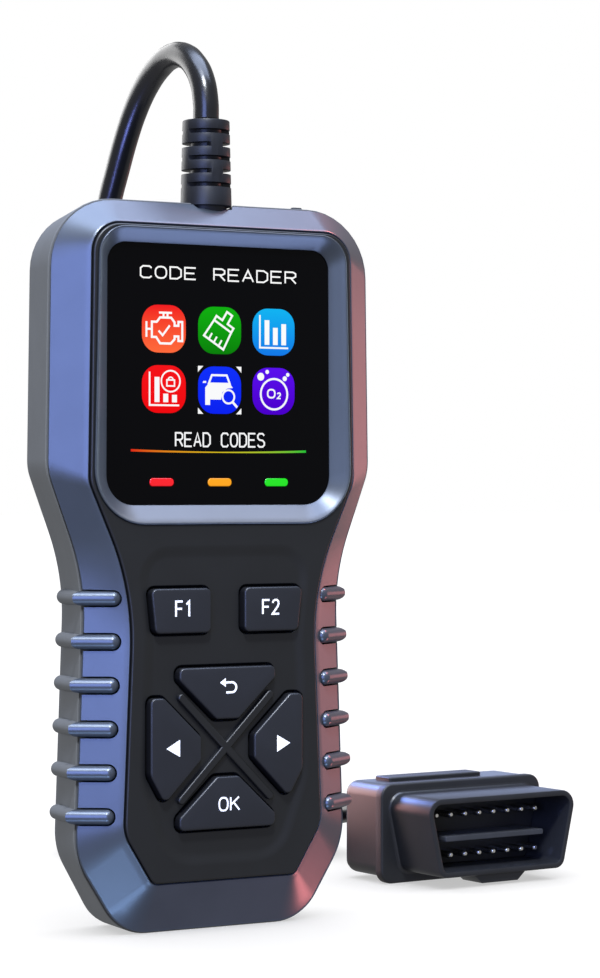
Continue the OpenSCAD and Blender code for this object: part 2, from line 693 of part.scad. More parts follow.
front_shell();
back_shell();
face_panel();
screen_bezel();
screen_lens();
display_module();
backlight();
light_guide_red();
light_guide_amber();
light_guide_green();
main_board();
chips();
buzzer();
indicator_leds();
key_switches();
key_mat();
key_f1();
key_f2();
key_back();
key_ok();
key_left();
key_right();
board_screws();
case_screws();
port();
port_cover();
cable_header();
strain_relief();
cable_upper();
cable_coil();
cable_lower();
coil_tie();
plug_front();
plug_rear();
plug_contact_block();
plug_contacts();
plug_board();
plug_relief();
plug_plate();
plug_screws();
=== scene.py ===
import json
import math

import bmesh
import bpy
from bpy.props import FloatProperty, FloatVectorProperty, IntProperty, PointerProperty
from bpy.types import Operator, Panel, PropertyGroup
from mathutils import Matrix, Vector

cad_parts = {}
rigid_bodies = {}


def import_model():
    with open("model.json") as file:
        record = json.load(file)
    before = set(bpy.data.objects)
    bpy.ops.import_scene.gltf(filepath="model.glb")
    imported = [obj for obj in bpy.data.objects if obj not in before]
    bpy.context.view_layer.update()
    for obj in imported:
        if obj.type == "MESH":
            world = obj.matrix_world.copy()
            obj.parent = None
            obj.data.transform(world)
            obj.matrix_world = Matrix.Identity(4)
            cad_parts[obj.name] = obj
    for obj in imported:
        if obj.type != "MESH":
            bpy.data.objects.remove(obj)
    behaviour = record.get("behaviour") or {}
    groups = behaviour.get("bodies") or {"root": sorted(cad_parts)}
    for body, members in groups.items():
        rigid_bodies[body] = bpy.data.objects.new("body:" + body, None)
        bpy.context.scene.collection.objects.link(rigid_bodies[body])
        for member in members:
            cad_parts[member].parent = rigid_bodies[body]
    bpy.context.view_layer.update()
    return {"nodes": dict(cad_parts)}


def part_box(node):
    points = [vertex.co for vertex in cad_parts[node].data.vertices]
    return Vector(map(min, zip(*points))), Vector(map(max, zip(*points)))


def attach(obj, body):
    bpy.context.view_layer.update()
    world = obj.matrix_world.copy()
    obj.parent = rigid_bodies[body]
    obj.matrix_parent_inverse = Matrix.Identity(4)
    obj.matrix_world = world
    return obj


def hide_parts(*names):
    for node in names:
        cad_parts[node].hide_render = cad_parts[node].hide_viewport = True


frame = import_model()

bl_info = {
    "name": "OBD Code Reader",
    "version": (1, 0, 0),
    "blender": (4, 5, 0),
    "location": "View3D > Sidebar > Code Reader",
    "description": "Builds the looks of a handheld code reader and its cable round its packed frame",
    "category": "Object",
}

MM = 0.001
HUB = "reader"          # the body that holds all that doesn't move


# ---- Sizes read from the frame, in millimetres ----

def low(node):
    """A node's lowest corner, in millimetres."""
    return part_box(node)[0] / MM


def high(node):
    """A node's highest corner, in millimetres."""
    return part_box(node)[1] / MM


Y_KEY = low("key_f1").y
Y_BEZEL = low("screen_bezel").y
Y_RIM = low("front_shell").y
Y_RECESS = high("face_panel").y
Y_PANEL = Y_KEY + 1.2
Y_LENS = low("screen_lens").y
Y_LENS_BACK = high("screen_lens").y
Y_PART = low("back_shell").y
Y_BACK = high("back_shell").y
Y_WALL = Y_RECESS + 1.5
BODY_H = high("back_shell").z


class CaseSizes(PropertyGroup):
    """Sizes of the reader's case, in millimetres."""
    head_width: FloatProperty(name="Head width",
                              description="Width across the head at the parting line",
                              default=high("back_shell").x - low("back_shell").x, min=60, max=100)
    waist_width: FloatProperty(name="Waist width", description="Width across the waist at the parting line",
                               default=58, min=50, max=76)
    grip_width: FloatProperty(name="Grip width", description="Width across the grip at the parting line",
                              default=62, min=52, max=80)
    foot_width: FloatProperty(name="Foot width", description="Width of the flat foot",
                              default=42, min=30, max=50)
    wall: FloatProperty(name="Wall", description="Wall thickness of both shells",
                        default=1.8, min=1.2, max=3)
    bevel_side: FloatProperty(name="Side bevel", description="Width of the bevel at the grip",
                              default=8.2, min=6, max=10)
    bevel_head: FloatProperty(name="Head bevel", description="Width of the bevel at the sides of the head",
                              default=6.6, min=5, max=9)
    bevel_top: FloatProperty(name="Top bevel", description="Width of the bevel at the top",
                             default=4.8, min=3, max=7)
    bevel_foot: FloatProperty(name="Foot bevel", description="Width of the bevel at the foot",
                              default=10, min=8, max=13)
    rib_count: IntProperty(name="Grip ribs", description="Ribs on each side", default=6, min=3, max=6)
    rib_pitch: FloatProperty(name="Rib pitch", description="Spacing of the grip ribs",
                             default=8.6, min=7, max=9)
    rib_radius: FloatProperty(name="Rib radius", description="Radius of a grip rib",
                              default=1.5, min=1, max=2)


class CordSizes(PropertyGroup):
    """Sizes of the cable and its coil, in millimetres."""
    diameter: FloatProperty(name="Cable diameter", description="Outside diameter of the jacket",
                            default=5.3, min=4, max=7)
    coil_radius: FloatProperty(name="Coil radius", description="Radius at the middle of the coil's turns",
                               default=27, min=25, max=45)
    relief_radius: FloatProperty(name="Relief radius", description="Radius of the strain relief's seat",
                                 default=5.5, min=4, max=7)


def linear(hex_colour):
    """An sRGB hex colour as linear red, green, blue and alpha."""
    parts = [int(hex_colour[i:i + 2], 16) / 255 for i in (1, 3, 5)]
    return tuple(c / 12.92 if c <= 0.04045 else ((c + 0.055) / 1.055) ** 2.4 for c in parts) + (1.0,)


def colour_property(name, description, hex_colour):
    """A colour that a user can change, its default given as sRGB hex."""
    return FloatVectorProperty(name=name, description=description, subtype="COLOR", size=4,
                               min=0, max=1, default=linear(hex_colour))


class FinishColours(PropertyGroup):
    """Colours of the main finishes."""
    case: colour_property("Case", "Satin paint of the front case", "#4a5058")
    frame: colour_property("Frame", "Satin paint of the screen frame", "#454b56")
    back: colour_property("Back", "Moulded plastic of the back case", "#5c5e62")
    panel: colour_property("Panel", "Moulded plastic of the face panel", "#0f1011")
    keys: colour_property("Keys", "Rubber of the keys", "#181a1f")
    cable: colour_property("Cable", "Jacket of the cable", "#0d0e10")
    plug: colour_property("Plug", "Moulded plastic of the plug", "#1b1c1f")


# ---- Outlines: lists of corners, each (across, up, radius), anticlockwise ----

def both_sides(half):
    """The right half of an outline's corners, with the left half mirrored from it."""
    return half + [(-x, z, r) for x, z, r in reversed(half)]


def neighbours(corners):
    """Each corner with the one before and the one after it."""
    count = len(corners)
    return [(corners[i - 1], corners[i], corners[(i + 1) % count]) for i in range(count)]


def outline(corners, steps=8):
    """The points of a rounded outline, with steps + 1 points round each corner."""
    points = []
    for before, at, after in neighbours(corners):
        here = Vector(at[:2])
        u = (Vector(before[:2]) - here).normalized()
        w = (Vector(after[:2]) - here).normalized()
        half = math.acos(max(-1, min(1, u.dot(w)))) / 2
        centre = here + (u + w).normalized() * at[2] / math.sin(half)
        start = here + u * at[2] / math.tan(half) - centre
        end = here + w * at[2] / math.tan(half) - centre
        turn = math.atan2(start.x * end.y - start.y * end.x, start.dot(end))
        for i in range(steps + 1):
            points.append(centre + Matrix.Rotation(turn * i / steps, 2) @ start)
    return points


def inset(corners, depth):
    """The corners moved inwards by depth, each radius changed to match."""
    moved = []
    for before, at, after in neighbours(corners):
        here = Vector(at[:2])
        e1 = (here - Vector(before[:2])).normalized()
        e2 = (Vector(after[:2]) - here).normalized()
        n1 = Vector((-e1.y, e1.x))
        n2 = Vector((-e2.y, e2.x))
        place = here + (n1 + n2) * depth / (1 + n1.dot(n2))
        convex = e1.x * e2.y - e1.y * e2.x > 0
        moved.append((place.x, place.y, max(at[2] - depth, 0.3) if convex else at[2] + depth))
    return moved


def between(first, second, share):
    """Corners that lie that share of the way from the first list to the second."""
    return [tuple(a + (b - a) * share for a, b in zip(p, q)) for p, q in zip(first, second)]


def on_foot(corners, height):
    """The corners with those of the foot put at that height, so that the foot stays flat."""
    return [(x, height, r) if z < 4 else (x, z, r) for x, z, r in corners]


def box_corners(x0, z0, x1, z1, r):
    """The corners of an upright rectangle."""
    return [(x0, z0, r), (x1, z0, r), (x1, z1, r), (x0, z1, r)]


def ring(corners, y, steps=8):
    """An outline as points in space, upright at depth y."""
    return [Vector((p.x, y, p.y)) for p in outline(corners, steps)]


def quarter(count):
    """Pairs that go round a quarter circle, from (0, 1) to (1, 0)."""
    turns = [math.radians(90 * i / count) for i in range(count + 1)]
    return [(1 - math.cos(t), 1 - math.sin(t)) for t in turns]


def plate_rings(corners, y_front, y_back, r_front=0.0, r_back=0.0, steps=8, soft=4):
    """Rings of a flat plate whose front and back edges are rounded."""
    rings = []
    if r_front:
        rings += [ring(inset(corners, r_front * b), y_front + r_front * a, steps)
                  for a, b in quarter(soft)]
    else:
        rings.append(ring(corners, y_front, steps))
    if r_back:
        rings += [ring(inset(corners, r_back * b), y_back - r_back * a, steps)
                  for a, b in reversed(quarter(soft))]
    else:
        rings.append(ring(corners, y_back, steps))
    return rings


def mouth_rings(corners, y_front, y_back, soften, steps=8):
    """Rings of a cutter that leaves an opening with a rounded front edge."""
    flare = [ring(inset(corners, -soften * b), y_front + soften * a, steps) for a, b in quarter(3)]
    start = ring(inset(corners, -soften - 0.02), y_front - 1, steps)
    return [start] + flare + [ring(corners, y_back, steps)]


def round_ring(centre, axis, radius, count=32):
    """A circle of points about an axis."""
    turn = Vector((0, 0, 1)).rotation_difference(Vector(axis)).to_matrix()
    return [Vector(centre) + turn @ Vector((radius * math.cos(math.tau * i / count),
                                            radius * math.sin(math.tau * i / count), 0))
            for i in range(count)]


def turned_rings(base, axis, profile, count=32):
    """Rings of a turned solid: profile is (distance along the axis, radius) from the base."""
    way = Vector(axis).normalized()
    return [round_ring(Vector(base) + way * d, way, r, count) for d, r in profile]


# ---- Modelling steps ----

def deselect():
    """Nothing stays selected."""
    bpy.ops.object.select_all(action="DESELECT")


def pick(piece):
    """Only this piece is selected and active."""
    deselect()
    piece.select_set(True)
    bpy.context.view_layer.objects.active = piece


def select_points(piece, wanted):
    """In edit mode, only the vertices with these numbers are selected."""
    mesh = bmesh.from_edit_mesh(piece.data)
    mesh.verts.ensure_lookup_table()
    for vertex in mesh.verts:
        vertex.select = vertex.index in wanted
    mesh.select_flush_mode()
    bmesh.update_edit_mesh(piece.data)


def skin(name, rings, closed=False):
    """A closed skin through rings of equal counts, in millimetres: circles are stacked and bridged, then
    each is shaped to its ring. The ends are capped, or joined up if closed."""
    deselect()
    count = len(rings[0])
    bpy.ops.mesh.primitive_circle_add(vertices=count)
    piece = bpy.context.object
    piece.name = name
    piece.data.name = name
    bpy.ops.object.mode_set(mode="EDIT")
    bpy.ops.mesh.select_mode(type="VERT")
    for height in range(1, len(rings)):
        bpy.ops.mesh.primitive_circle_add(vertices=count, location=(0, 0, height))
    bpy.ops.mesh.select_all(action="SELECT")
    bpy.ops.mesh.bridge_edge_loops(type="CLOSED" if closed else "SINGLE")
    if not closed:
        for start in (0, count * (len(rings) - 1)):
            select_points(piece, set(range(start, start + count)))
            bpy.ops.mesh.edge_face_add()
    bpy.ops.object.mode_set(mode="OBJECT")
    for vertex, point in zip(piece.data.vertices, [p for points in rings for p in points]):
        vertex.co = point * MM
    bpy.ops.object.mode_set(mode="EDIT")
    bpy.ops.mesh.select_all(action="SELECT")
    bpy.ops.mesh.normals_make_consistent(inside=False)
    bpy.ops.object.mode_set(mode="OBJECT")
    return piece


def at_origin(piece):
    """The piece's place goes into its mesh."""
    pick(piece)
    bpy.ops.object.transform_apply(location=True, rotation=True, scale=True)


def joined(name, pieces):
    """Several meshes as one piece."""
    pick(pieces[0])
    for piece in pieces:
        piece.select_set(True)
    if len(pieces) > 1:
        bpy.ops.object.join()
    whole = bpy.context.object
    whole.name = name
    whole.data.name = name
    return whole


def copies(piece, moves):
    """Copies of a piece, each with its own mesh, put at those distances from it; the first is removed."""
    made = []
    for move in moves:
        pick(piece)
        bpy.ops.object.duplicate(linked=False)
        copy = bpy.context.object
        copy.location = Vector(move) * MM
        at_origin(copy)
        made.append(copy)
    bpy.data.objects.remove(piece)
    return made


def carve(piece, cutters, operation="DIFFERENCE"):
    """Cuts the cutters out of the piece, or adds them to it, and removes them."""
    for cutter in cutters:
        pick(piece)
        step = piece.modifiers.new("carve", "BOOLEAN")
        step.operation = operation
        step.solver = "EXACT"
        step.object = cutter
        bpy.ops.object.modifier_apply(modifier=step.name)
        bpy.data.objects.remove(cutter)
    return piece


def soften(piece, width, segments=2, angle=40):
    """Rounds the edges that are sharper than the angle."""
    pick(piece)
    step = piece.modifiers.new("soften", "BEVEL")
    step.width = width * MM
    step.segments = segments
    step.limit_method = "ANGLE"
    step.angle_limit = math.radians(angle)
    bpy.ops.object.modifier_apply(modifier=step.name)
    return piece


def hold(piece, material, body=HUB, replaced=(), smooth=32, weighted=False):
    """Gives a finished piece its shading, material and body, and hides the nodes it stands for."""
    at_origin(piece)
    bpy.ops.object.shade_smooth_by_angle(angle=math.radians(smooth))
    if weighted:
        step = piece.modifiers.new("weights", "WEIGHTED_NORMAL")
        step.keep_sharp = True
        bpy.ops.object.modifier_apply(modifier=step.name)
    piece.data.materials.clear()
    piece.data.materials.append(material)
    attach(piece, body)
    if replaced:
        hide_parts(*replaced)
    return piece


def dress(node, material):
    """A frame node that shows as it is gets a finish."""
    slots = frame["nodes"][node].data.materials
    for i in range(len(slots)):
        slots[i] = material
    if not len(slots):
        slots.append(material)


# ---- Materials ----

def add_node(tree, kind, settings=None, links=None):
    """Adds one shader node with its settings and its incoming links."""
    node = tree.nodes.new(kind)
    for key, value in (settings or {}).items():
        if isinstance(key, str) and hasattr(node, key):
            setattr(node, key, value)
        else:
            node.inputs[key].default_value = value
    for key, source in (links or {}).items():
        tree.links.new(source, node.inputs[key])
    return node


def finish(name, settings, grain_mm=0.0, grain_depth_mm=0.0, tones=None, mottle_mm=8.0):
    """A material with a fine surface grain of that size and depth, and a soft change between two tones."""
    if name in bpy.data.materials:
        return bpy.data.materials[name]
    material = bpy.data.materials.new(name)
    material.use_nodes = True
    tree = material.node_tree
    shader = tree.nodes["Principled BSDF"]
    for key, value in settings.items():
        shader.inputs[key].default_value = value
    place = add_node(tree, "ShaderNodeTexCoord")
    if tones:
        cloud = add_node(tree, "ShaderNodeTexNoise", {"Scale": 1 / (mottle_mm * MM), "Detail": 3.0},
                         {"Vector": place.outputs["Object"]})
        ramp = add_node(tree, "ShaderNodeValToRGB", None, {"Fac": cloud.outputs["Fac"]})
        ramp.color_ramp.elements[0].position = 0.35
        ramp.color_ramp.elements[1].position = 0.65
        ramp.color_ramp.elements[0].color = tones[0]
        ramp.color_ramp.elements[1].color = tones[1]
        tree.links.new(ramp.outputs["Color"], shader.inputs["Base Color"])
    if grain_mm:
        grain = add_node(tree, "ShaderNodeTexNoise", {"Scale": 1 / (grain_mm * MM), "Detail": 2.0},
                         {"Vector": place.outputs["Object"]})
        bump = add_node(tree, "ShaderNodeBump", {"Strength": 1.0, "Distance": grain_depth_mm * MM},
                        {"Height": grain.outputs["Fac"]})
        tree.links.new(bump.outputs["Normal"], shader.inputs["Normal"])
    return material


def shade(colour, factor):
    """A linear colour made darker or lighter."""
    return tuple(min(1, c * factor) for c in colour[:3]) + (1.0,)


def colours():
    """The colours set in the sidebar."""
    return bpy.context.scene.reader_colours


def satin_paint():
    # Soft satin paint with a little metal in it, sprayed on ABS: broad gradients and no sharp reflections
    c = tuple(colours().case)
    return finish("satin_metallic_paint", {"Metallic": 0.6, "Roughness": 0.32, "Coat Weight": 0.1,
                                           "Coat Roughness": 0.3},
                  0.22, 0.004, (shade(c, 0.94), shade(c, 1.06)), 14)


def frame_paint():
    # The same paint in a darker shade, on the screen's frame
    c = tuple(colours().frame)
    return finish("satin_metallic_frame_paint", {"Metallic": 0.55, "Roughness": 0.38, "Coat Weight": 0.1,
                                                 "Coat Roughness": 0.3},
                  0.22, 0.004, (shade(c, 0.95), shade(c, 1.05)), 14)


def textured_abs():
    # ABS moulded in a spark-eroded tool: matt, with a fine even grain
    c = tuple(colours().back)
    return finish("spark_textured_abs", {"Roughness": 0.58, "IOR": 1.53},
                  0.35, 0.02, (shade(c, 0.96), shade(c, 1.04)), 9)


def black_abs():
    # Black ABS from a finely blasted tool: dark, with a soft sheen along its edges
    c = tuple(colours().panel)
    return finish("fine_blasted_black_abs", {"Roughness": 0.42, "IOR": 1.53},
                  0.2, 0.006, (shade(c, 0.9), shade(c, 1.1)), 11)


def key_rubber():
    # Silicone rubber with a urethane coat: slightly blue, with a thin rim of light on its edges
    c = tuple(colours().keys)
    return finish("coated_silicone_rubber", {"Roughness": 0.46, "IOR": 1.43, "Coat Weight": 0.3,
                                             "Coat Roughness": 0.22},
                  0.25, 0.006, (shade(c, 0.93), shade(c, 1.07)), 6)


def key_side_shade_rubber():
    # The same rubber without its coat on the sides of the keys, dull, with its colour made near black as
    # painted shade on the side walls
    return finish("shade_darkened_silicone_rubber", {"Roughness": 0.75, "Specular IOR Level": 0.2}, 0.3, 0.006,
                  (linear("#050506"), linear("#08080a")), 6)


def screen_acrylic():
    # Black-backed acrylic sheet with an anti-reflection coat: deep black and polished
    return finish("black_backed_acrylic", {"Base Color": linear("#020203"), "Roughness": 0.07, "IOR": 1.49,
                                            "Specular IOR Level": 0.12},
                  0.9, 0.0006)


def cable_pvc():
    # Extruded PVC jacket: smooth and shiny, with faint waves along it from the die
    c = tuple(colours().cable)
    return finish("extruded_pvc", {"Roughness": 0.26, "IOR": 1.53}, 1.4, 0.02,
                  (shade(c, 0.85), shade(c, 1.2)), 10)


def relief_pvc():
    # Soft PVC moulded over the cable: satin, a little duller than the jacket
    return finish("overmoulded_pvc", {"Roughness": 0.42, "IOR": 1.53, "Specular IOR Level": 0.3}, 0.3, 0.01,
                  (linear("#131417"), linear("#1b1d21")), 5)


def plug_abs():
    # Glass-filled nylon of the plug: black, satin, with a slight flow mottle
    c = tuple(colours().plug)
    return finish("glass_filled_nylon", {"Roughness": 0.38, "IOR": 1.53}, 0.3, 0.008,
                  (shade(c, 0.9), shade(c, 1.15)), 7)


def plug_flange_abs():
    # The same nylon from a blasted part of the tool: flatter and darker
    return finish("blasted_nylon", {"Roughness": 0.55, "IOR": 1.53}, 0.3, 0.012,
                  (linear("#121315"), linear("#17181b")), 7)


def key_bar_nylon():
    # Natural grey nylon of the contact carrier's middle bar
    return finish("grey_nylon", {"Roughness": 0.6, "IOR": 1.53}, 0.3, 0.01,
                  (linear("#2c2e31"), linear("#34363a")), 5)


def nickel():
    # Nickel plate on brass: bright and a little warm
    return finish("nickel_plate", {"Base Color": linear("#e6e4df"), "Metallic": 1.0, "Roughness": 0.22},
                  0.15, 0.002)


def steel():
    # Zinc-plated steel screws: grey metal with fine turning marks
    return finish("zinc_plated_steel", {"Base Color": linear("#a8abb0"), "Metallic": 1.0, "Roughness": 0.34},
                  0.12, 0.004)


def legend_ink():
    # White two-part ink, pad printed: flat and slightly chalky, with a faint painted glow from its emission
    return finish("pad_printing_ink", {"Base Color": linear("#f2f3f4"), "Roughness": 0.6,
                                       "Emission Color": linear("#ffffff"), "Emission Strength": 0.25},
                  0.2, 0.002)


def port_rubber():
    # Black rubber plug of the port: matt
    return finish("moulded_rubber", {"Roughness": 0.7, "IOR": 1.5}, 0.3, 0.012,
                  (linear("#101113"), linear("#17181a")), 4)


def lit(name, tones, start, end, axis="Z", strength=1.0):
    """Lit pixels of the display, going through the tones from start to end along an axis."""
    if name in bpy.data.materials:
        return bpy.data.materials[name]
    # Liquid crystal over a white backlight: it glows evenly and reflects almost nothing
    material = finish(name, {"Base Color": linear("#000000"), "Roughness": 0.25, "Specular IOR Level": 0.0,
                             "Emission Strength": strength})
    tree = material.node_tree
    place = tree.nodes["Texture Coordinate"]
    parts = add_node(tree, "ShaderNodeSeparateXYZ", None, {"Vector": place.outputs["Object"]})
    share = add_node(tree, "ShaderNodeMapRange", {"From Min": start * MM, "From Max": end * MM},
                     {"Value": parts.outputs[axis]})
    ramp = add_node(tree, "ShaderNodeValToRGB", None, {"Fac": share.outputs["Result"]})
    for tone in tones[1:-1]:
        ramp.color_ramp.elements.new(tones.index(tone) / (len(tones) - 1))
    for element, tone in zip(ramp.color_ramp.elements, tones):
        element.color = linear(tone)
    tree.links.new(ramp.outputs["Color"], tree.nodes["Principled BSDF"].inputs["Emission Color"])
    return material


def light_guide(name, core, edge):
    # Tinted polycarbonate light guide, lit from behind: brightest along its middle
    return finish(name, {"Base Color": linear(edge), "Roughness": 0.2, "IOR": 1.58,
                         "Emission Color": linear(core), "Emission Strength": 0.85}, 0.5, 0.002)


def nylon_tape():
    # Hook-and-loop tape: woven nylon, its threads drawn 0.5 mm apart so that they show
    material = finish("woven_nylon_tape", {"Roughness": 0.85, "IOR": 1.53, "Sheen Weight": 0.4})
    tree = material.node_tree
    if "Wave Texture" in tree.nodes:
        return material
    place = tree.nodes["Texture Coordinate"]
    shader = tree.nodes["Principled BSDF"]
    across = add_node(tree, "ShaderNodeTexWave", {"bands_direction": "X", "Scale": 0.3 / (0.5 * MM)},
                      {"Vector": place.outputs["Object"]})
    along = add_node(tree, "ShaderNodeTexWave", {"bands_direction": "Z", "Scale": 0.3 / (0.5 * MM)},
                     {"Vector": place.outputs["Object"]})
    weave = add_node(tree, "ShaderNodeMath", {"operation": "MULTIPLY"},
                     {0: across.outputs["Fac"], 1: along.outputs["Fac"]})
    ramp = add_node(tree, "ShaderNodeValToRGB", None, {"Fac": weave.outputs["Value"]})
    ramp.color_ramp.elements[0].color = linear("#17181a")
    ramp.color_ramp.elements[1].color = linear("#2c2e32")
    bump = add_node(tree, "ShaderNodeBump", {"Distance": 0.08 * MM}, {"Height": weave.outputs["Value"]})
    tree.links.new(ramp.outputs["Color"], shader.inputs["Base Color"])
    tree.links.new(bump.outputs["Normal"], shader.inputs["Normal"])
    return material


# ---- The case's outlines ----

def sizes():
    """The case sizes set in the sidebar."""
    return bpy.context.scene.reader_case


def cord_sizes():
    """The cable sizes set in the sidebar."""
    return bpy.context.scene.reader_cord


HEAD_LEN = 53.9
WAIST_Z = 71
FOOT_Z = 16
RIB_LOW = 24.1
PORT_Y = 3.5
PANEL_LIP = 0.4
PANEL_GAP = 0.1
KEY_GAP = 0.5


def parting_corners():
    """The case's outline at the parting line."""
    s = sizes()
    head = s.head_width / 2
    return both_sides([(s.foot_width / 2, 0, 11), (s.grip_width / 2, FOOT_Z, 16),
                       (s.waist_width / 2, WAIST_Z, 44), (head, BODY_H - HEAD_LEN, 12),
                       (head - 0.8, BODY_H, 14)])


def rim_corners():
    """The outline of the front bevel's inner edge."""
    s = sizes()
    head = s.head_width / 2 - s.bevel_head
    return both_sides([(s.foot_width / 2 - 4.7, s.bevel_foot, 2.5),
                       (s.grip_width / 2 - s.bevel_side, FOOT_Z + 4.6, 8),
                       (s.waist_width / 2 - s.bevel_side, WAIST_Z - 2.7, 50),
                       (head, BODY_H - HEAD_LEN - 2.4, 7), (head - 0.8, BODY_H - s.bevel_top, 6.5)])


def panel_corners():
    """The face panel's outline, inside the rim with a small gap."""
    return inset(rim_corners(), PANEL_LIP + PANEL_GAP)


BEZEL_TOP = high("screen_bezel").z
BEZEL_LOW = low("screen_bezel").z
BEZEL_HALF = 29.4
GLASS_HALF = BEZEL_HALF - 3.9


def bezel_corners():
    """The screen frame's outer outline."""
    return both_sides([(BEZEL_HALF, BEZEL_LOW, 11), (BEZEL_HALF - 1.4, BEZEL_TOP, 6)])


def glass_corners():
    """The outline where the screen frame ends on the glass."""
    return both_sides([(GLASS_HALF, BEZEL_LOW + 3.8, 6), (GLASS_HALF - 0.3, BEZEL_TOP - 3, 4)])


# ---- The keys' outlines, from the frame ----

KEY_CORNER = 1.15
PAD_Z = (low("key_back").z + high("key_ok").z) / 2
FUNCTION_Z = (low("key_f1").z + high("key_f1").z) / 2


def mirrored(corners):
    """The same corners on the other side, still anticlockwise."""
    return [(-x, z, r) for x, z, r in reversed(corners)]


F1 = [(-16.2, FUNCTION_Z - 4.45, KEY_CORNER), (-3.8, FUNCTION_Z - 4.45, KEY_CORNER),
      (-3.8, FUNCTION_Z + 4.45, KEY_CORNER), (-17.2, FUNCTION_Z + 4.45, KEY_CORNER)]
RIGHT = [(6, PAD_Z - 2.3, KEY_CORNER), (14.1, PAD_Z - 10.6, KEY_CORNER), (17.3, PAD_Z - 5, 3),
         (17.3, PAD_Z + 10.3, KEY_CORNER), (14.3, PAD_Z + 10.3, KEY_CORNER), (6, PAD_Z + 2.3, KEY_CORNER)]
KEYS = {
    "key_f1": F1,
    "key_f2": mirrored(F1),
    "key_back": both_sides([(2.5, PAD_Z + 5.7, KEY_CORNER), (10.9, PAD_Z + 13.7, KEY_CORNER),
                            (10.9, PAD_Z + 16.1, KEY_CORNER)]),
    "key_ok": both_sides([(10.9, PAD_Z - 16.2, KEY_CORNER), (10.9, PAD_Z - 13.7, KEY_CORNER),
                          (2.5, PAD_Z - 5.8, KEY_CORNER)]),
    "key_left": mirrored(RIGHT),
    "key_right": RIGHT,
}


# ---- Places along the plug and the cable ----

PLUG_AT = Vector((85.3, 24.05, 0))
PLUG_TURN = Matrix.Rotation(math.radians(3.8), 3, "Z")
CONTACT_Z = 11.3
CONTACT_PITCH = 4
ROW_PITCH = 9
V_RIM = -6
V_FLANGE = 9.2
V_BACK = 25.6
SHROUD = both_sides([(17.3, 2.6, 2.5), (21.3, 20.2, 3.4)])
FLANGE = both_sides([(22.6, 0, 3), (22.6, 22.4, 3)])
REAR = both_sides([(22.2, 1.2, 3), (22.2, 22.2, 3)])

# The cable up out of its relief, over, and down behind the case
UPPER_ROUTE = [(0, -1.2, 163.7), (0, -1.1, 167), (0, 0.4, 171.6), (0, 4, 175.6), (0, 8.6, 177.9),
               (0, 13.8, 178.4), (0, 19.3, 177), (0, 25, 174), (0, 30.4, 169.4), (0, 35, 163.8),
               (0, 39.4, 157), (0, 43, 151), (0.5, 48, 140), (1.5, 53, 126), (3, 57, 110),
               (4.5, 60, 92), (6, 62, 74), (8, 64, 56), (10.5, 66.5, 38), (13.5, 70.5, 22),
               (17.5, 77, 10), (21, 86, 4.2), (23.6, 95, 2.7), (24.35, 104, 2.65)]
# Out of the coil to the plug
LOWER_ROUTE = [(83.65, 104, 7.95), (83.6, 95, 8.2), (83.2, 86, 9.6), (82.8, 78, 10.9),
               (82.3, 69.6, 11.3)]
COIL_AT = Vector((54, 104, 0))
COIL_TURNS = 3.5
# Where each change of lane starts, in turns, and how far it moves the cable out and up, in diameters
LANE_CHANGES = [(0.78, -1, 0), (1.62, 0, 1), (2.46, 1, 0)]
CHANGE_LENGTH = 0.14


def in_plug(point):
    """A point of the plug's own frame, across, along and up, as a point of the row's frame."""
    return PLUG_TURN @ Vector(point) + PLUG_AT


def placed(rings):
    """Rings of the plug's own frame, put where the plug lies."""
    return [[in_plug(p) for p in points] for points in rings]


def ease(share):
    """A share from 0 to 1, with a soft start and end."""
    share = max(0.0, min(1.0, share))
    return share * share * (3 - 2 * share)


def coil_points(per_turn=16):
    """The coil's turns: two lanes side by side on the floor and two on top of them."""
    c = cord_sizes()
    points = []
    for i in range(1, round(COIL_TURNS * per_turn)):
        turn = i / per_turn
        out, up = 0.5, 0.5
        for start, step_out, step_up in LANE_CHANGES:
            share = ease((turn - start) / CHANGE_LENGTH)
            out += step_out * share
            up += step_up * share
        angle = math.pi - math.tau * turn
        radius = c.coil_radius + out * c.diameter
        reach = Vector((radius * math.cos(angle), radius * math.sin(angle), up * c.diameter))
        points.append(COIL_AT + reach)
    return points


def slot_rings(base, axis, side, start, height, r_in, r_out, web):
    """Rings of the two cutters of a slot round a relief: each leaves a core and two webs."""
    way = Vector(axis).normalized()
    u = Vector(side).normalized()
    w = way.cross(u)
    a_out = math.acos(web / r_out)
    a_in = math.acos(web / r_in)
    arc_out = [a_out * (i / 8 - 1) for i in range(17)]
    arc_in = [a_in * (1 - i / 8) for i in range(17)]
    flat = [(r_out * math.cos(a), r_out * math.sin(a)) for a in arc_out]
    flat += [(r_in * math.cos(a), r_in * math.sin(a)) for a in arc_in]
    for mirror in (1, -1):
        yield [[Vector(base) + way * (start + lift) + u * (x * mirror) + w * (y * mirror) for x, y in flat]
               for lift in (0, height)]


def relief(name, base, axis, sides, profile, slots, r_in, pitch, first, height=0.9):
    """A segmented strain relief: a turned body with slots that open in turn on two sides."""
    body = skin(name, turned_rings(base, axis, profile, 48))
    cutters = []
    for i in range(slots):
        for rings in slot_rings(base, axis, sides[i % 2], first + i * pitch, height, r_in, 8, 1.3):
            cutters.append(skin("slot", rings))
    carve(body, [joined("slots", cutters)])
    return soften(body, 0.12, 2, 50)


# ---- Small shapes of the screen picture and the legends ----

def flat_shape(name, points, y, thick=0.02):
    """A thin flat piece of the given outline, its front at depth y."""
    front = [Vector((x, y, z)) for x, z in points]
    back = [Vector((x, y + thick, z)) for x, z in points]
    return skin(name, [front, back])


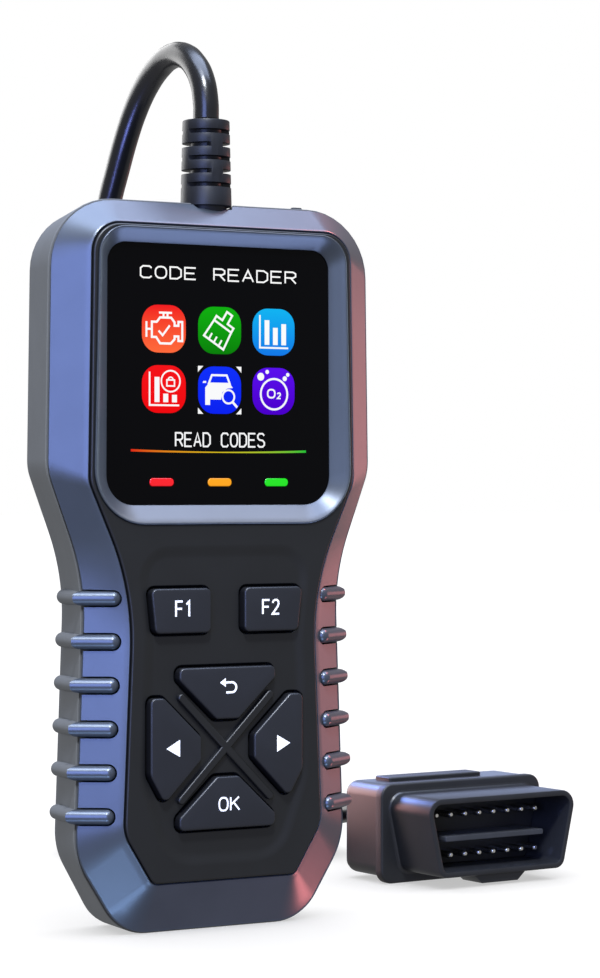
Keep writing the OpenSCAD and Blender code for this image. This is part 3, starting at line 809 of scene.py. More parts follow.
def side_points(points, width, closed):
    """The points half a width to each side of a path."""
    count = len(points)
    left, right = [], []
    for i, point in enumerate(points):
        before = points[i - 1] if closed or i else None
        after = points[(i + 1) % count] if closed or i + 1 < count else None
        here = Vector(point)
        d1 = (here - Vector(before)).normalized() if before is not None else None
        d2 = (Vector(after) - here).normalized() if after is not None else None
        d1 = d1 or d2
        d2 = d2 or d1
        n1 = Vector((-d1.y, d1.x))
        n2 = Vector((-d2.y, d2.x))
        reach = (n1 + n2) * width / 2 / max(0.35, 1 + n1.dot(n2))
        left.append(here + reach)
        right.append(here - reach)
    return left, right


def stroke(points, width, y, closed=False, thick=0.02):
    """A line of the given width along a path, as a thin flat piece."""
    left, right = side_points(points, width, closed)
    if closed:
        rings = [[Vector((p.x, d, p.y)) for p in side]
                 for side, d in ((left, y), (right, y), (right, y + thick), (left, y + thick))]
        return skin("stroke", rings, closed=True)
    return flat_shape("stroke", [tuple(p) for p in left + right[::-1]], y, thick)


def circle_path(x, z, radius, count=28, start=0.0, turn=360.0):
    """Points round a circle, or round part of it."""
    steps = count if turn == 360 else count + 1
    return [(x + radius * math.cos(math.radians(start + turn * i / count)),
             z + radius * math.sin(math.radians(start + turn * i / count))) for i in range(steps)]


def moved(points, dx, dz, degrees=0.0):
    """A flat path turned and moved."""
    turn = Matrix.Rotation(math.radians(degrees), 2)
    return [tuple(turn @ Vector(p) + Vector((dx, dz))) for p in points]


# Strokes of each letter, on a grid 4 wide and 6 high
LETTERS = {
    "A": [[(0, 0), (2, 6), (4, 0)], [(0.7, 2), (3.3, 2)]],
    "C": [[(4, 5.1), (3.2, 6), (0.9, 6), (0, 5), (0, 1), (0.9, 0), (3.2, 0), (4, 0.9)]],
    "D": [[(0, 0), (0, 6), (2.6, 6), (4, 4.7), (4, 1.3), (2.6, 0), (-0.2, 0)]],
    "E": [[(4, 6), (0, 6), (0, 0), (4, 0)], [(0, 3.1), (3.5, 3.1)]],
    "F": [[(3.8, 6), (0, 6), (0, 0)], [(0, 3.1), (3.4, 3.1)]],
    "K": [[(0, 0), (0, 6)], [(3.9, 6), (0.3, 2.7)], [(1.4, 3.6), (4.1, 0)]],
    "O": [[(2, 6), (1, 5.8), (0.3, 5), (0, 3.9), (0, 2.1), (0.3, 1), (1, 0.2), (2, 0), (3, 0.2), (3.7, 1),
           (4, 2.1), (4, 3.9), (3.7, 5), (3, 5.8), (2, 6)]],
    "R": [[(0, 0), (0, 6), (3, 6), (4, 5.2), (4, 3.7), (3, 2.9), (0, 2.9)], [(2.1, 2.9), (4.1, 0)]],
    "S": [[(3.9, 5.1), (3, 6), (1, 6), (0.1, 5.2), (0.1, 4), (1, 3.2), (3, 2.9), (4, 2), (4, 0.9), (3, 0),
           (1, 0), (0, 0.9)]],
    "1": [[(0.6, 4.8), (2.2, 6), (2.2, 0)]],
    "2": [[(0.3, 4.7), (0.7, 5.6), (1.6, 6), (2.6, 6), (3.5, 5.4), (3.7, 4.3), (3.2, 3.2), (0.2, 0),
           (4, 0)]],
    " ": [],
}


def lettering(text, x, z, height, width, y, weight=0.12):
    """Plain stroke letters, centred on a point; weight is the stroke's share of the height."""
    pen = weight * height
    pitch = (width - pen + 0.36 * (width / len(text))) / len(text)
    cell = pitch * 0.74
    marks = []
    for i, letter in enumerate(text):
        left = x - (width - pen) / 2 + i * pitch
        for path in LETTERS[letter]:
            points = [(left + px / 4 * cell, z + (pz / 6 - 0.5) * (height - pen)) for px, pz in path]
            closed = points[0] == points[-1]
            marks.append(stroke(points[:-1] if closed else points, pen, y, closed))
    return marks


def capsule(a, b, radius):
    """A bar with round ends between two points, turned about its axis."""
    length = (Vector(b) - Vector(a)).length
    turns = [math.radians(6 + 12 * i) for i in range(8)]
    start = [(-radius * math.cos(t), radius * math.sin(t)) for t in turns]
    end = [(length + radius * math.cos(t), radius * math.sin(t)) for t in reversed(turns)]
    return skin("bar", turned_rings(a, Vector(b) - Vector(a), start + end, 28))


def trim(piece, y, keep_front):
    """Cuts a piece off flat at depth y."""
    pick(piece)
    bpy.ops.object.mode_set(mode="EDIT")
    bpy.ops.mesh.select_all(action="SELECT")
    bpy.ops.mesh.bisect(plane_co=(0, y * MM, 0), plane_no=(0, 1, 0), use_fill=True,
                        clear_outer=keep_front, clear_inner=not keep_front)
    bpy.ops.object.mode_set(mode="OBJECT")
    return piece


def blocks(x0, y0, z0, x1, y1, z1):
    """A rectangular cutter."""
    deselect()
    bpy.ops.mesh.primitive_cube_add(size=1)
    cube = bpy.context.object
    cube.scale = Vector((x1 - x0, y1 - y0, z1 - z0)) * MM
    cube.location = Vector((x0 + x1, y0 + y1, z0 + z1)) / 2 * MM
    at_origin(cube)
    return cube


# ---- Operators ----

class READER_OT_camera(Operator):
    """Puts the camera level, in front of the reader and to its left"""
    bl_idname = "reader.camera"
    bl_label = "Camera"

    def execute(self, context):
        deselect()
        bpy.ops.object.camera_add(location=Vector((-271.69, -509.92, 88.63)) * MM,
                                  rotation=(math.pi / 2, 0, math.radians(-30)))
        camera = context.object
        camera.data.lens = 104.56
        camera.data.clip_start = 0.02
        context.scene.camera = camera
        return {"FINISHED"}


class READER_OT_cable(Operator):
    """Makes the cable along its route, through its coil and to the plug"""
    bl_idname = "reader.cable"
    bl_label = "Cable"

    def execute(self, context):
        c = cord_sizes()
        route = [Vector(p) for p in UPPER_ROUTE] + coil_points() + [Vector(p) for p in LOWER_ROUTE]
        line = bpy.data.curves.new("cable", "CURVE")
        line.dimensions = "3D"
        line.bevel_depth = c.diameter / 2 * MM
        line.bevel_resolution = 7
        line.resolution_u = 6
        line.use_fill_caps = True
        spline = line.splines.new("BEZIER")
        spline.bezier_points.add(len(route) - 1)
        for knot, point in zip(spline.bezier_points, route):
            knot.co = point * MM
            knot.handle_left_type = "AUTO"
            knot.handle_right_type = "AUTO"
        cable = bpy.data.objects.new("cable", line)
        context.scene.collection.objects.link(cable)
        line.materials.append(cable_pvc())
        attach(cable, HUB)
        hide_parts("cable_upper", "cable_coil", "cable_lower")
        return {"FINISHED"}


class READER_OT_reliefs(Operator):
    """Makes the strain reliefs of the case and of the plug"""
    bl_idname = "reader.reliefs"
    bl_label = "Strain reliefs"

    def execute(self, context):
        r = cord_sizes().relief_radius - 0.3
        start = BODY_H - 0.4
        top = UPPER_ROUTE[0][2] - 0.4
        length = top - start
        base = Vector((0, UPPER_ROUTE[0][1], start))
        profile = [(-2, r - 1), (0, r - 1), (0, r - 0.15), (0.15, r), (length - 0.3, r - 0.42),
                   (length - 0.08, r - 0.5), (length, r - 0.7)]
        case_relief = relief("case_relief", base, (0, 0, 1), ((0, 1, 0), (1, 0, 0)), profile, 5, r * 0.6,
                             2.7, length - 2.9 - 4 * 2.7)
        hold(case_relief, relief_pvc(), replaced=["strain_relief"])
        base = in_plug((0, V_BACK, CONTACT_Z))
        axis = PLUG_TURN @ Vector((0, 1, 0))
        across = PLUG_TURN @ Vector((1, 0, 0))
        profile = [(-2, 3.5), (-0.1, 3.5), (0, 5), (0.3, 5.2), (19.5, 3.7), (19.85, 3.6), (20, 3.4)]
        plug_relief = relief("plug_cable_relief", base, axis, (across, (0, 0, 1)), profile, 4, 2.76, 3.2, 4)
        hold(plug_relief, relief_pvc(), replaced=["plug_relief"])
        return {"FINISHED"}


class READER_OT_coil_tie(Operator):
    """Wraps a strap of hook-and-loop tape round the coil"""
    bl_idname = "reader.coil_tie"
    bl_label = "Coil tie"

    def execute(self, context):
        lo, hi = low("coil_tie"), high("coil_tie")
        thick = 0.8
        loop = box_corners(lo.y + thick, lo.z + thick, hi.y - thick, hi.z - thick, 2.2)

        def band(grow, x):
            return [Vector((x, p.x, p.y)) for p in outline(inset(loop, -grow), 8)]

        rings = [band(0.05, lo.x), band(thick - 0.15, lo.x), band(thick, lo.x + 0.15),
                 band(thick, hi.x - 0.15), band(thick - 0.15, hi.x), band(0.05, hi.x)]
        strap = skin("coil_tie_strap", rings, closed=True)
        tail = [(lo.y + 3.0, hi.z - 0.9), (hi.y - 3.4, hi.z - 0.9), (hi.y - 3.0, hi.z - 0.4),
                (hi.y - 3.4, hi.z), (lo.y + 3.0, hi.z)]
        flap = skin("tail", [[Vector((x, y, z)) for y, z in tail] for x in (lo.x + 0.3, hi.x - 0.3)])
        strap = joined("coil_tie_strap", [strap, flap])
        hold(strap, nylon_tape(), replaced=["coil_tie"])
        return {"FINISHED"}


class READER_OT_plug_shell(Operator):
    """Makes the plug's shroud, flange, rear housing and plate"""
    bl_idname = "reader.plug_shell"
    bl_label = "Plug shell"

    def execute(self, context):
        wall = 1.3
        soft = 0.35
        profile = [(-0.7, V_FLANGE + 0.4), (-0.7, V_FLANGE - 0.05), (-0.3, V_FLANGE - 0.15),
                   (0, V_FLANGE - 0.5), (0, V_RIM + soft),
                   (soft * 0.3, V_RIM + soft * 0.3), (soft, V_RIM), (wall - soft, V_RIM),
                   (wall - soft * 0.3, V_RIM + soft * 0.3), (wall, V_RIM + soft), (wall, V_FLANGE + 0.4)]
        shroud = skin("shroud", placed([ring(inset(SHROUD, d), v) for d, v in profile]), closed=True)
        flange = skin("flange", placed(plate_rings(FLANGE, V_FLANGE, V_FLANGE + 2.4, 0.5, 0.2)))
        opening = skin("cut", placed([ring(inset(SHROUD, wall), v) for v in (V_FLANGE - 1, V_FLANGE + 3)]))
        carve(flange, [opening])
        hold(flange, plug_flange_abs())
        clip_corners = [(-5, 0.6, 0.3), (5, 0.6, 0.3), (7.6, 2.9, 0.3), (-7.6, 2.9, 0.3)]
        clip = skin("clip", placed(plate_rings(clip_corners, -5, 2.5, 0.25, 0.25, 3)))
        hold(joined("plug_shroud", [shroud, clip]), plug_abs(), replaced=["plug_front"])
        flange.name = "plug_flange"
        y0 = V_FLANGE + 2.4
        rings = [ring(inset(REAR, 0.25), y0), ring(REAR, y0 + 0.25), ring(REAR, V_BACK - 3)]
        rings += [ring(inset(REAR, 3 * a), V_BACK - 3 * b) for a, b in quarter(6)[1:]]
        rear = skin("plug_rear_housing", placed(rings))
        mouths = []
        for u, r, depth in ((0, 3.7, 3), (-17, 1.6, 2.2), (17, 1.6, 2.2)):
            base = in_plug((u, V_BACK - depth, CONTACT_Z))
            along = PLUG_TURN @ Vector((0, 1, 0))
            mouths.append(skin("mouth", turned_rings(base, along, [(0, r), (depth + 1, r)])))
        carve(rear, [joined("mouths", mouths)])
        hold(rear, plug_abs(), replaced=["plug_rear"])
        plate_low, plate_high = (-16, V_FLANGE + 6), (10, V_FLANGE + 12)
        plate_path = outline(box_corners(*plate_low, *plate_high, 0.6), 4)
        rings = [[Vector((p.x, p.y, z)) for p in plate_path] for z in (22.0, 22.9)]
        inner = outline(inset(box_corners(*plate_low, *plate_high, 0.6), 0.25), 4)
        rings.append([Vector((p.x, p.y, 23.1)) for p in inner])
        hold(skin("plug_top_plate", placed(rings)), plug_flange_abs(), replaced=["plug_plate"])
        return {"FINISHED"}


class READER_OT_plug_contacts(Operator):
    """Makes the plug's contact carrier, its middle bar and its sixteen contacts"""
    bl_idname = "reader.plug_contacts"
    bl_label = "Plug contacts"

    def execute(self, context):
        block = skin("plug_carrier", placed(plate_rings(inset(SHROUD, 1.35), 6.5, V_FLANGE + 2.4, 0.2)))
        hold(block, plug_flange_abs(), replaced=["plug_contact_block"])
        bar_corners = box_corners(-13.8, CONTACT_Z - 1.1, 13.8, CONTACT_Z + 0.1, 0.25)
        bar = skin("plug_middle_bar", placed(plate_rings(bar_corners, -3, 6.6, 0.15, steps=3)))
        hold(bar, key_bar_nylon())
        profile = [(0, 0.38), (0.12, 0.5), (0.6, 0.72), (0.9, 0.75), (7, 0.75)]
        along = PLUG_TURN @ Vector((0, 1, 0))
        pin = skin("pin", turned_rings(in_plug((0, 0, CONTACT_Z)), along, profile, 20))
        places = [PLUG_TURN @ Vector(((i - 3.5) * CONTACT_PITCH, 0, row * ROW_PITCH))
                  for row in (-0.5, 0.5) for i in range(8)]
        hold(joined("plug_pins", copies(pin, places)), nickel(), replaced=["plug_contacts"])
        return {"FINISHED"}


class READER_OT_front_case(Operator):
    """Makes the front case: its bevel, its rim and its grip ribs"""
    bl_idname = "reader.front_case"
    bl_label = "Front case"

    def execute(self, context):
        s = sizes()
        part, rim = parting_corners(), rim_corners()
        depth = Y_PART - Y_RIM
        steps = 10

        def bevel(share, d=0.0):
            return ring(inset(between(part, rim, share), d), Y_PART - depth * share, steps)

        wall_share = (Y_PART - Y_WALL) / depth
        lip = inset(rim, PANEL_LIP)
        rings = [ring(inset(between(part, rim, wall_share), s.wall), Y_WALL, steps),
                 ring(inset(part, s.wall), Y_PART, steps), ring(inset(part, 1.0), Y_PART, steps),
                 ring(inset(part, 0.9), Y_PART - 0.34, steps), ring(inset(part, 0.3), Y_PART - 0.36, steps),
                 bevel(0.07), bevel(0.3), bevel(0.6),
                 bevel(0.86), bevel(0.93, -0.02), ring(inset(rim, -0.16), Y_RIM + 0.16, steps),
                 ring(inset(rim, 0.03), Y_RIM + 0.02, steps), ring(inset(rim, 0.12), Y_RIM, steps),
                 ring(lip, Y_RIM + 0.3, steps), ring(lip, Y_RECESS, steps)]
        case = skin("front_case", rings)
        ends = (Y_RECESS - 0.5, Y_WALL + 1)
        carve(case, [skin("cut", [ring(inset(bezel_corners(), -0.1), y) for y in ends])])
        for corners in KEYS.values():
            carve(case, [skin("cut", [ring(inset(corners, -KEY_GAP), y, 5) for y in ends])])
        carve(case, [relief_seat()])
        slope = Vector((-s.bevel_side, -depth, 0)).normalized()
        grooves, ribs = [], []
        for side in (-1, 1):
            way = Vector((slope.x * side, slope.y, 0))
            start = Vector((0, Y_PART, 0))
            places = rib_places(side)
            groove = capsule(start - 2 * way, start + 6 * way, s.rib_radius + 0.32)
            grooves += copies(groove, places)
            rib = capsule(start - 2 * way, start + 6 * way, s.rib_radius)
            ribs += copies(trim(rib, Y_PART - 0.1, True), places)
        carve(case, [joined("grooves", grooves)])
        hold(joined("front_case", [case] + ribs), satin_paint(), replaced=["front_shell"],
             smooth=28, weighted=True)
        return {"FINISHED"}


def relief_seat():
    """The cutter of the round recess that the strain relief stands in."""
    base = Vector((0, UPPER_ROUTE[0][1], BODY_H - 1.1))
    profile = [(0, cord_sizes().relief_radius - 0.1), (8, 5.5)]
    return skin("seat", turned_rings(base, (0, 0, 1), profile, 48))


def rib_places(side):
    """Where each grip rib of one side meets the parting line, in the plane of the front."""
    s = sizes()
    places = []
    for i in range(s.rib_count):
        z = RIB_LOW + i * s.rib_pitch
        share = (z - FOOT_Z) / (WAIST_Z - FOOT_Z)
        x = s.grip_width / 2 + (s.waist_width - s.grip_width) / 2 * share - 0.4
        places.append((x * side, 0, z))
    return places


class READER_OT_back_case(Operator):
    """Makes the back case with its screw wells, port and grip bumps"""
    bl_idname = "reader.back_case"
    bl_label = "Back case"

    def execute(self, context):
        s = sizes()
        part = parting_corners()
        steps = 10
        draft, soft = 1.7, 2.6
        y_flank = Y_BACK - soft
        rings = [ring(on_foot(inset(part, s.wall + draft), s.wall), Y_BACK - s.wall, steps),
                 ring(inset(part, s.wall), Y_PART, steps), ring(inset(part, 1.0), Y_PART, steps),
                 ring(inset(part, 0.1), Y_PART + 0.06, steps), ring(part, Y_PART + 0.3, steps),
                 ring(on_foot(inset(part, draft / 2), 0), (Y_PART + y_flank) / 2, steps)]
        for a, b in reversed(quarter(7)):
            rings.append(ring(on_foot(inset(part, draft + soft * b), 0.8 * soft * b),
                              Y_BACK - soft * a, steps))
        case = skin("back_case", rings)
        wells = screw_places()
        boss = skin("boss", turned_rings((0, 2, 0), (0, 1, 0), [(0, 3.2), (4, 3.6), (7.7, 3.6)]))
        carve(case, [joined("bosses", copies(boss, wells))], "UNION")
        profile = [(0, 1.5), (6.2, 1.5), (6.2, 2.7), (9.5, 2.7), (9.7, 2.9), (11, 2.9)]
        well = skin("well", turned_rings((0, 1, 0), (0, 1, 0), profile))
        carve(case, [joined("holes", copies(well, wells))])
        port_low, port_high = low("port_cover"), high("port_cover")
        carve(case, [blocks(port_low.x - 0.3, PORT_Y - 2.3, BODY_H - 5,
                            port_high.x + 0.3, PORT_Y + 2.3, BODY_H + 2)])
        carve(case, [relief_seat()])
        bumps = []
        for side in (-1, 1):
            bar = capsule((0, Y_PART - 2, 0), (-0.5 * side, Y_BACK - 4.5, 0), s.rib_radius)
            bumps += copies(trim(bar, Y_PART + 0.1, False), rib_places(side))
        soften(case, 0.12, 2, 38)
        hold(joined("back_case", [case] + bumps), textured_abs(), replaced=["back_shell"],
             smooth=28, weighted=True)
        return {"FINISHED"}


def screw_places():
    """The middle of each case screw, read from the frame."""
    spots = []
    for vertex in frame["nodes"]["case_screws"].data.vertices:
        point = vertex.co / MM
        if not any((point - spot).length < 12 for spot in spots):
            spots.append(point)
    centres = []
    for spot in spots:
        near = [v.co / MM for v in frame["nodes"]["case_screws"].data.vertices
                if abs(v.co.x / MM - spot.x) < 8 and abs(v.co.z / MM - spot.z) < 8]
        centre = Vector(((min(p.x for p in near) + max(p.x for p in near)) / 2, 0,
                         (min(p.z for p in near) + max(p.z for p in near)) / 2))
        if not any((centre - c).length < 3 for c in centres):
            centres.append(centre)
    return centres


DISH_DEPTH = 0.42


class READER_OT_face_panel(Operator):
    """Makes the face panel: its soft edge, its dish, its key openings and its crossed ribs"""
    bl_idname = "reader.face_panel"
    bl_label = "Face panel"

    def execute(self, context):
        panel = skin("face_plate", plate_rings(panel_corners(), Y_PANEL, Y_RECESS - 0.02, 0.4, steps=10))
        dish_low, dish_top = 13.4, BEZEL_LOW - 4
        dish = both_sides([(13.4, dish_low, 9), (19.6, 30, 14), (18.4, 60, 30), (20.5, dish_top, 7)])
        slope = 2.8
        rings = [ring(inset(dish, -0.05), Y_PANEL - 0.6)]
        rings += [ring(inset(dish, slope * i / 8), Y_PANEL + DISH_DEPTH * ease(i / 8) - 0.001)
                  for i in range(9)]
        carve(panel, [skin("dish", rings)])
        carve(panel, [skin("cut", mouth_rings(inset(bezel_corners(), -0.1), Y_PANEL, Y_RECESS + 1, 0.12))])
        for corners in KEYS.values():
            mouth = mouth_rings(inset(corners, -KEY_GAP), Y_PANEL + DISH_DEPTH, Y_RECESS + 1, 0.18, 5)
            carve(panel, [skin("cut", mouth)])
        bars = []
        for way in (-1, 1):
            turn = Matrix.Rotation(math.radians(44.5 * way), 3, "Y")
            centre = Vector((0, 0, PAD_Z))
            corners = box_corners(-0.85, -15.1, 0.85, 15.1, 0.8)
            rings = plate_rings(corners, Y_PANEL - 0.6, Y_PANEL + 0.8, 0.4, steps=5)
            bars.append(skin("bar", [[turn @ p + centre for p in points] for points in rings]))
        carve(panel, bars, "UNION")
        hold(panel, black_abs(), replaced=["face_panel"], smooth=30, weighted=True)
        return {"FINISHED"}


class READER_OT_screen_frame(Operator):
    """Makes the sloping frame round the screen"""
    bl_idname = "reader.screen_frame"
    bl_label = "Screen frame"

    def execute(self, context):
        outer, glass = bezel_corners(), glass_corners()
        steps = 12

        def slope(share):
            depth = (Y_LENS - 0.25 - Y_BEZEL) * share
            return ring(between(inset(outer, 0.32), glass, share), Y_BEZEL + depth, steps)

        rings = [ring(inset(outer, 0.1), Y_LENS - 0.01, steps), ring(outer, Y_PANEL + 0.3, steps),
                 ring(outer, Y_BEZEL + 0.16, steps), ring(inset(outer, 0.05), Y_BEZEL + 0.05, steps),
                 ring(inset(outer, 0.14), Y_BEZEL, steps), ring(inset(outer, 0.22), Y_BEZEL, steps),
                 slope(0.03), slope(0.3), slope(0.65), slope(0.93), ring(glass, Y_LENS - 0.2, steps),
                 ring(glass, Y_LENS - 0.01, steps)]
        frame_piece = skin("screen_frame", rings, closed=True)
        hold(frame_piece, frame_paint(), replaced=["screen_bezel"], smooth=24)
        return {"FINISHED"}


LED_Z = BEZEL_LOW + 8.4
LED_X = 13.1


def pill(x, grow=0.0):
    """The outline of an indicator's light guide."""
    return box_corners(x - 2.7 - grow, LED_Z - 0.8 - grow, x + 2.7 + grow, LED_Z + 0.8 + grow, 0.75 + grow)


class READER_OT_screen_glass(Operator):
    """Makes the screen's glass and the indicators' light guides"""
    bl_idname = "reader.screen_glass"
    bl_label = "Screen glass"

    def execute(self, context):
        rings = plate_rings(inset(bezel_corners(), 0.1), Y_LENS, Y_LENS_BACK, 0.1, 0.1, 10)
        glass = skin("screen_glass", rings)
        for x in (-LED_X, 0, LED_X):
            carve(glass, [skin("cut", [ring(pill(x, 0.06), y, 6) for y in (Y_LENS - 1, Y_LENS_BACK + 1)])])
        hold(glass, screen_acrylic(), replaced=["screen_lens"])
        lights = [(-LED_X, "red", "#e8101c", "#7c0008"), (0, "amber", "#f09a00", "#7c4c00"),
                  (LED_X, "green", "#10d810", "#046404")]
        for x, name, core, edge in lights:
            rings = plate_rings(pill(x), Y_LENS - 0.06, Y_LENS_BACK + 1, 0.2, steps=6)
            guide = skin(f"indicator_{name}", rings)
            hold(guide, light_guide(f"lit_{name}_polycarbonate", core, edge),
                 replaced=[f"light_guide_{name}"])
        return {"FINISHED"}


ICON_X = (-12.65, -0.05, 12.4)
ICON_Z = (BEZEL_LOW + 38.9, BEZEL_LOW + 26.9)
TILE_W, TILE_H = 9.8, 9.5
Y_TILE = Y_LENS - 0.03
Y_MARK = Y_LENS - 0.05


def engine_marks(x, z):
    """An engine in outline, with a tick in it."""
    block = [(-2.5, -1.5), (-2.5, 1.2), (-1.5, 1.2), (-0.8, 2.0), (1.5, 2.0), (2.2, 1.2), (2.2, 0.6),
             (3.0, 0.6), (3.0, 1.3), (3.8, 1.3), (3.8, -2.1), (3.0, -2.1), (3.0, -1.3), (2.2, -1.3),
             (2.2, -1.8),
             (1.4, -2.6), (-0.8, -2.6), (-1.6, -1.5)]
    block = [(px * 1.08, pz * 1.12) for px, pz in block]
    marks = [stroke(moved(block, x, z), 0.45, Y_MARK, True)]
    for path in ([(-3.9, 1.4), (-3.9, -1.7)], [(-3.9, -0.1), (-2.6, -0.1)], [(-1.1, 3.2), (1.8, 3.2)],
                 [(-0.1, 3.1), (-0.1, 2.1)], [(0.8, 3.1), (0.8, 2.1)],
                 [(-1.2, -0.4), (-0.3, -1.3), (1.3, 0.7)]):
        marks.append(stroke(moved(path, x, z), 0.42, Y_MARK))
    return marks


def brush_marks(x, z):
    """A broad brush in outline, tipped over."""
    marks = []
    head = [(-2.6, -3.0), (-2.3, 0.9), (2.3, 0.9), (2.6, -3.0)]
    handle = [(-2.3, 0.9), (-2.3, 1.9), (-0.7, 1.9), (-0.7, 3.9),
              (0.7, 3.9), (0.7, 1.9), (2.3, 1.9), (2.3, 0.9)]
    marks.append(stroke(moved(head, x + 0.2, z + 0.1, -32), 0.42, Y_MARK, True))
    marks.append(stroke(moved(handle, x + 0.2, z + 0.1, -32), 0.42, Y_MARK, True))
    for start in (-1.3, 0, 1.3):
        bristle = [(start, -3.0), (start, -1.6)]
        marks.append(stroke(moved(bristle, x + 0.2, z + 0.1, -32), 0.38, Y_MARK))
    return marks


def chart_marks(x, z, heights=(5.0, 3.5, 4.3)):
    """A bar chart on two axes."""
    marks = [stroke(moved([(-3.2, 3.4), (-3.2, -3.2), (3.4, -3.2)], x, z), 0.36, Y_MARK)]
    for i, height in enumerate(heights):
        left = -2.1 + i * 1.95
        bar = [(left, -2.6), (left + 1.1, -2.6), (left + 1.1, height - 2.6), (left, height - 2.6)]
        marks.append(flat_shape("bar", moved(bar, x, z), Y_MARK))
    return marks


def lock_marks(x, z):
    """A bar chart with a padlock in a ring."""
    marks = chart_marks(x, z, (5.0, 1.7, 1.5))
    marks.append(stroke(circle_path(x + 1.5, z + 1.6, 2.1), 0.32, Y_MARK, True))
    lock = [(-0.85, -0.75), (0.85, -0.75), (0.85, 0.45), (-0.85, 0.45)]
    marks.append(stroke(moved(lock, x + 1.5, z + 1.4), 0.3, Y_MARK, True))
    marks.append(stroke(circle_path(x + 1.5, z + 1.85, 0.55, 10, 0, 180), 0.28, Y_MARK))
    return marks


def car_marks(x, z):
    """A car from the front under a magnifying glass, between four corner marks."""
    marks = []
    roof = [(-2.5, 1.3), (-1.8, 3.0), (1.6, 3.0), (2.3, 1.3)]
    marks.append(stroke(moved(roof, x, z), 0.42, Y_MARK, True))
    body = [(-3.3, -3.0), (-3.3, 0.5), (-2.6, 1.2), (2.4, 1.2), (3.0, 0.5), (1.7, 0.35), (0.6, -0.4),
            (0.3, -1.9), (-2.2, -1.9), (-2.2, -3.0)]
    marks.append(flat_shape("body", moved(body, x, z), Y_MARK))
    lamp = [(-3.9, 1.4), (-3.1, 1.4), (-3.1, 1.8), (-3.7, 1.8)]
    marks.append(flat_shape("lamp", moved(lamp, x, z), Y_MARK))
    marks.append(stroke(circle_path(x + 2.0, z - 1.3, 1.35, 22), 0.38, Y_MARK, True))
    marks.append(stroke(moved([(2.9, -2.3), (4.0, -3.4)], x, z), 0.5, Y_MARK))
    for sx in (-1, 1):
        for sz in (-1, 1):
            corner = [(4.95, 3.6), (4.95, 4.8), (3.75, 4.8)]
            if sx * sz < 0:
                corner.reverse()
            corner = [(px * sx, pz * sz) for px, pz in corner]
            marks.append(flat_shape("corner", moved(corner, x, z), Y_MARK))
    return marks


def oxygen_marks(x, z):
    """A ring with the sign for oxygen, and bubbles."""
    marks = [stroke(circle_path(x + 0.1, z - 0.6, 3.1, 36), 0.42, Y_MARK, True)]
    for bx, bz, radius in ((-3.0, 2.9, 0.8), (-1.5, 3.9, 0.42), (2.6, 2.6, 0.5), (3.3, 3.4, 0.4)):
        marks.append(flat_shape("bubble", circle_path(x + bx, z + bz, radius, 16), Y_MARK))
    marks += lettering("O", x - 0.6, z - 0.5, 2.0, 1.9, Y_MARK, 0.17)
    marks += lettering("2", x + 1.2, z - 0.9, 1.4, 1.0, Y_MARK, 0.2)
    return marks


class READER_OT_screen_picture(Operator):
    """Draws the menu on the screen: six tiles, a title, a caption and a line of colour"""
    bl_idname = "reader.screen_picture"
    bl_label = "Screen picture"

    def execute(self, context):
        tiles = [("#ff6a3c", "#f31c22", engine_marks), ("#0c7f0c", "#12b012", brush_marks),
                 ("#1477e8", "#12b4f2", chart_marks), ("#f00a10", "#f4141a", lock_marks),
                 ("#0c22f0", "#1030fa", car_marks), ("#4a00c8", "#5a10ee", oxygen_marks)]
        marks = []
        for i, (low_colour, high_colour, draw) in enumerate(tiles):
            x, z = ICON_X[i % 3], ICON_Z[i // 3]
            corners = box_corners(x - TILE_W / 2, z - TILE_H / 2, x + TILE_W / 2, z + TILE_H / 2, 3.5)
            tile = flat_shape(f"tile_{i + 1}", [tuple(p) for p in outline(corners, 8)], Y_TILE)
            glow = lit(f"lit_pixels_{i + 1}", (low_colour, high_colour), z - TILE_H / 2, z + TILE_H / 2)
            hold(tile, glow)
            marks += draw(x, z)
        marks += lettering("CODE READER", -0.3, BEZEL_TOP - 8.8, 2.6, 35.4, Y_MARK, 0.12)
        marks += lettering("READ CODES", 0, BEZEL_LOW + 16.9, 3.0, 20.4, Y_MARK, 0.11)
        white = lit("lit_white_pixels", ("#f4f6f8", "#ffffff"), 80, 140)
        hold(joined("screen_marks", marks), white)
        z = BEZEL_LOW + 14.4
        top = [(x, z + 0.3 * (x / 20.4) ** 2 + 0.1 + 0.14 * abs(x / 20.4)) for x in range(-20, 21, 4)]
        low_side = [(x, z + 0.3 * (x / 20.4) ** 2 - 0.1 - 0.14 * abs(x / 20.4)) for x in range(20, -21, -4)]
        line = flat_shape("colour_line", low_side[::-1] + top[::-1], Y_TILE)
        hold(line, lit("lit_colour_line", ("#e02818", "#d8c020", "#20c038"), -20, 20, "X"))
        return {"FINISHED"}


KEY_BODIES = {"key_f1": "f1_key", "key_f2": "f2_key", "key_back": "back_key", "key_ok": "ok_key",
              "key_left": "left_key", "key_right": "right_key"}


class READER_OT_keys(Operator):
    """Makes the six keys, each with a soft edge and a flange behind the face wall"""
    bl_idname = "reader.keys"
    bl_label = "Keys"

    def execute(self, context):
        y_flange = Y_WALL + 0.05
        for name, corners in KEYS.items():
            rings = plate_rings(corners, Y_KEY, y_flange, 0.42, steps=6, soft=4)
            rings += [ring(inset(corners, -KEY_GAP - 0.8), y, 6) for y in (y_flange, y_flange + 0.7)]
            cap = skin(name.replace("key_", "cap_"), rings)
            hold(cap, key_rubber(), KEY_BODIES[name], [name])
            cap.data.materials.append(key_side_shade_rubber())
            # The key's side faces take the darker rubber: painted shade on the side walls
            for face in cap.data.polygons:
                if face.center.y > (Y_KEY + 0.5) * MM:
                    face.material_index = 1
        return {"FINISHED"}


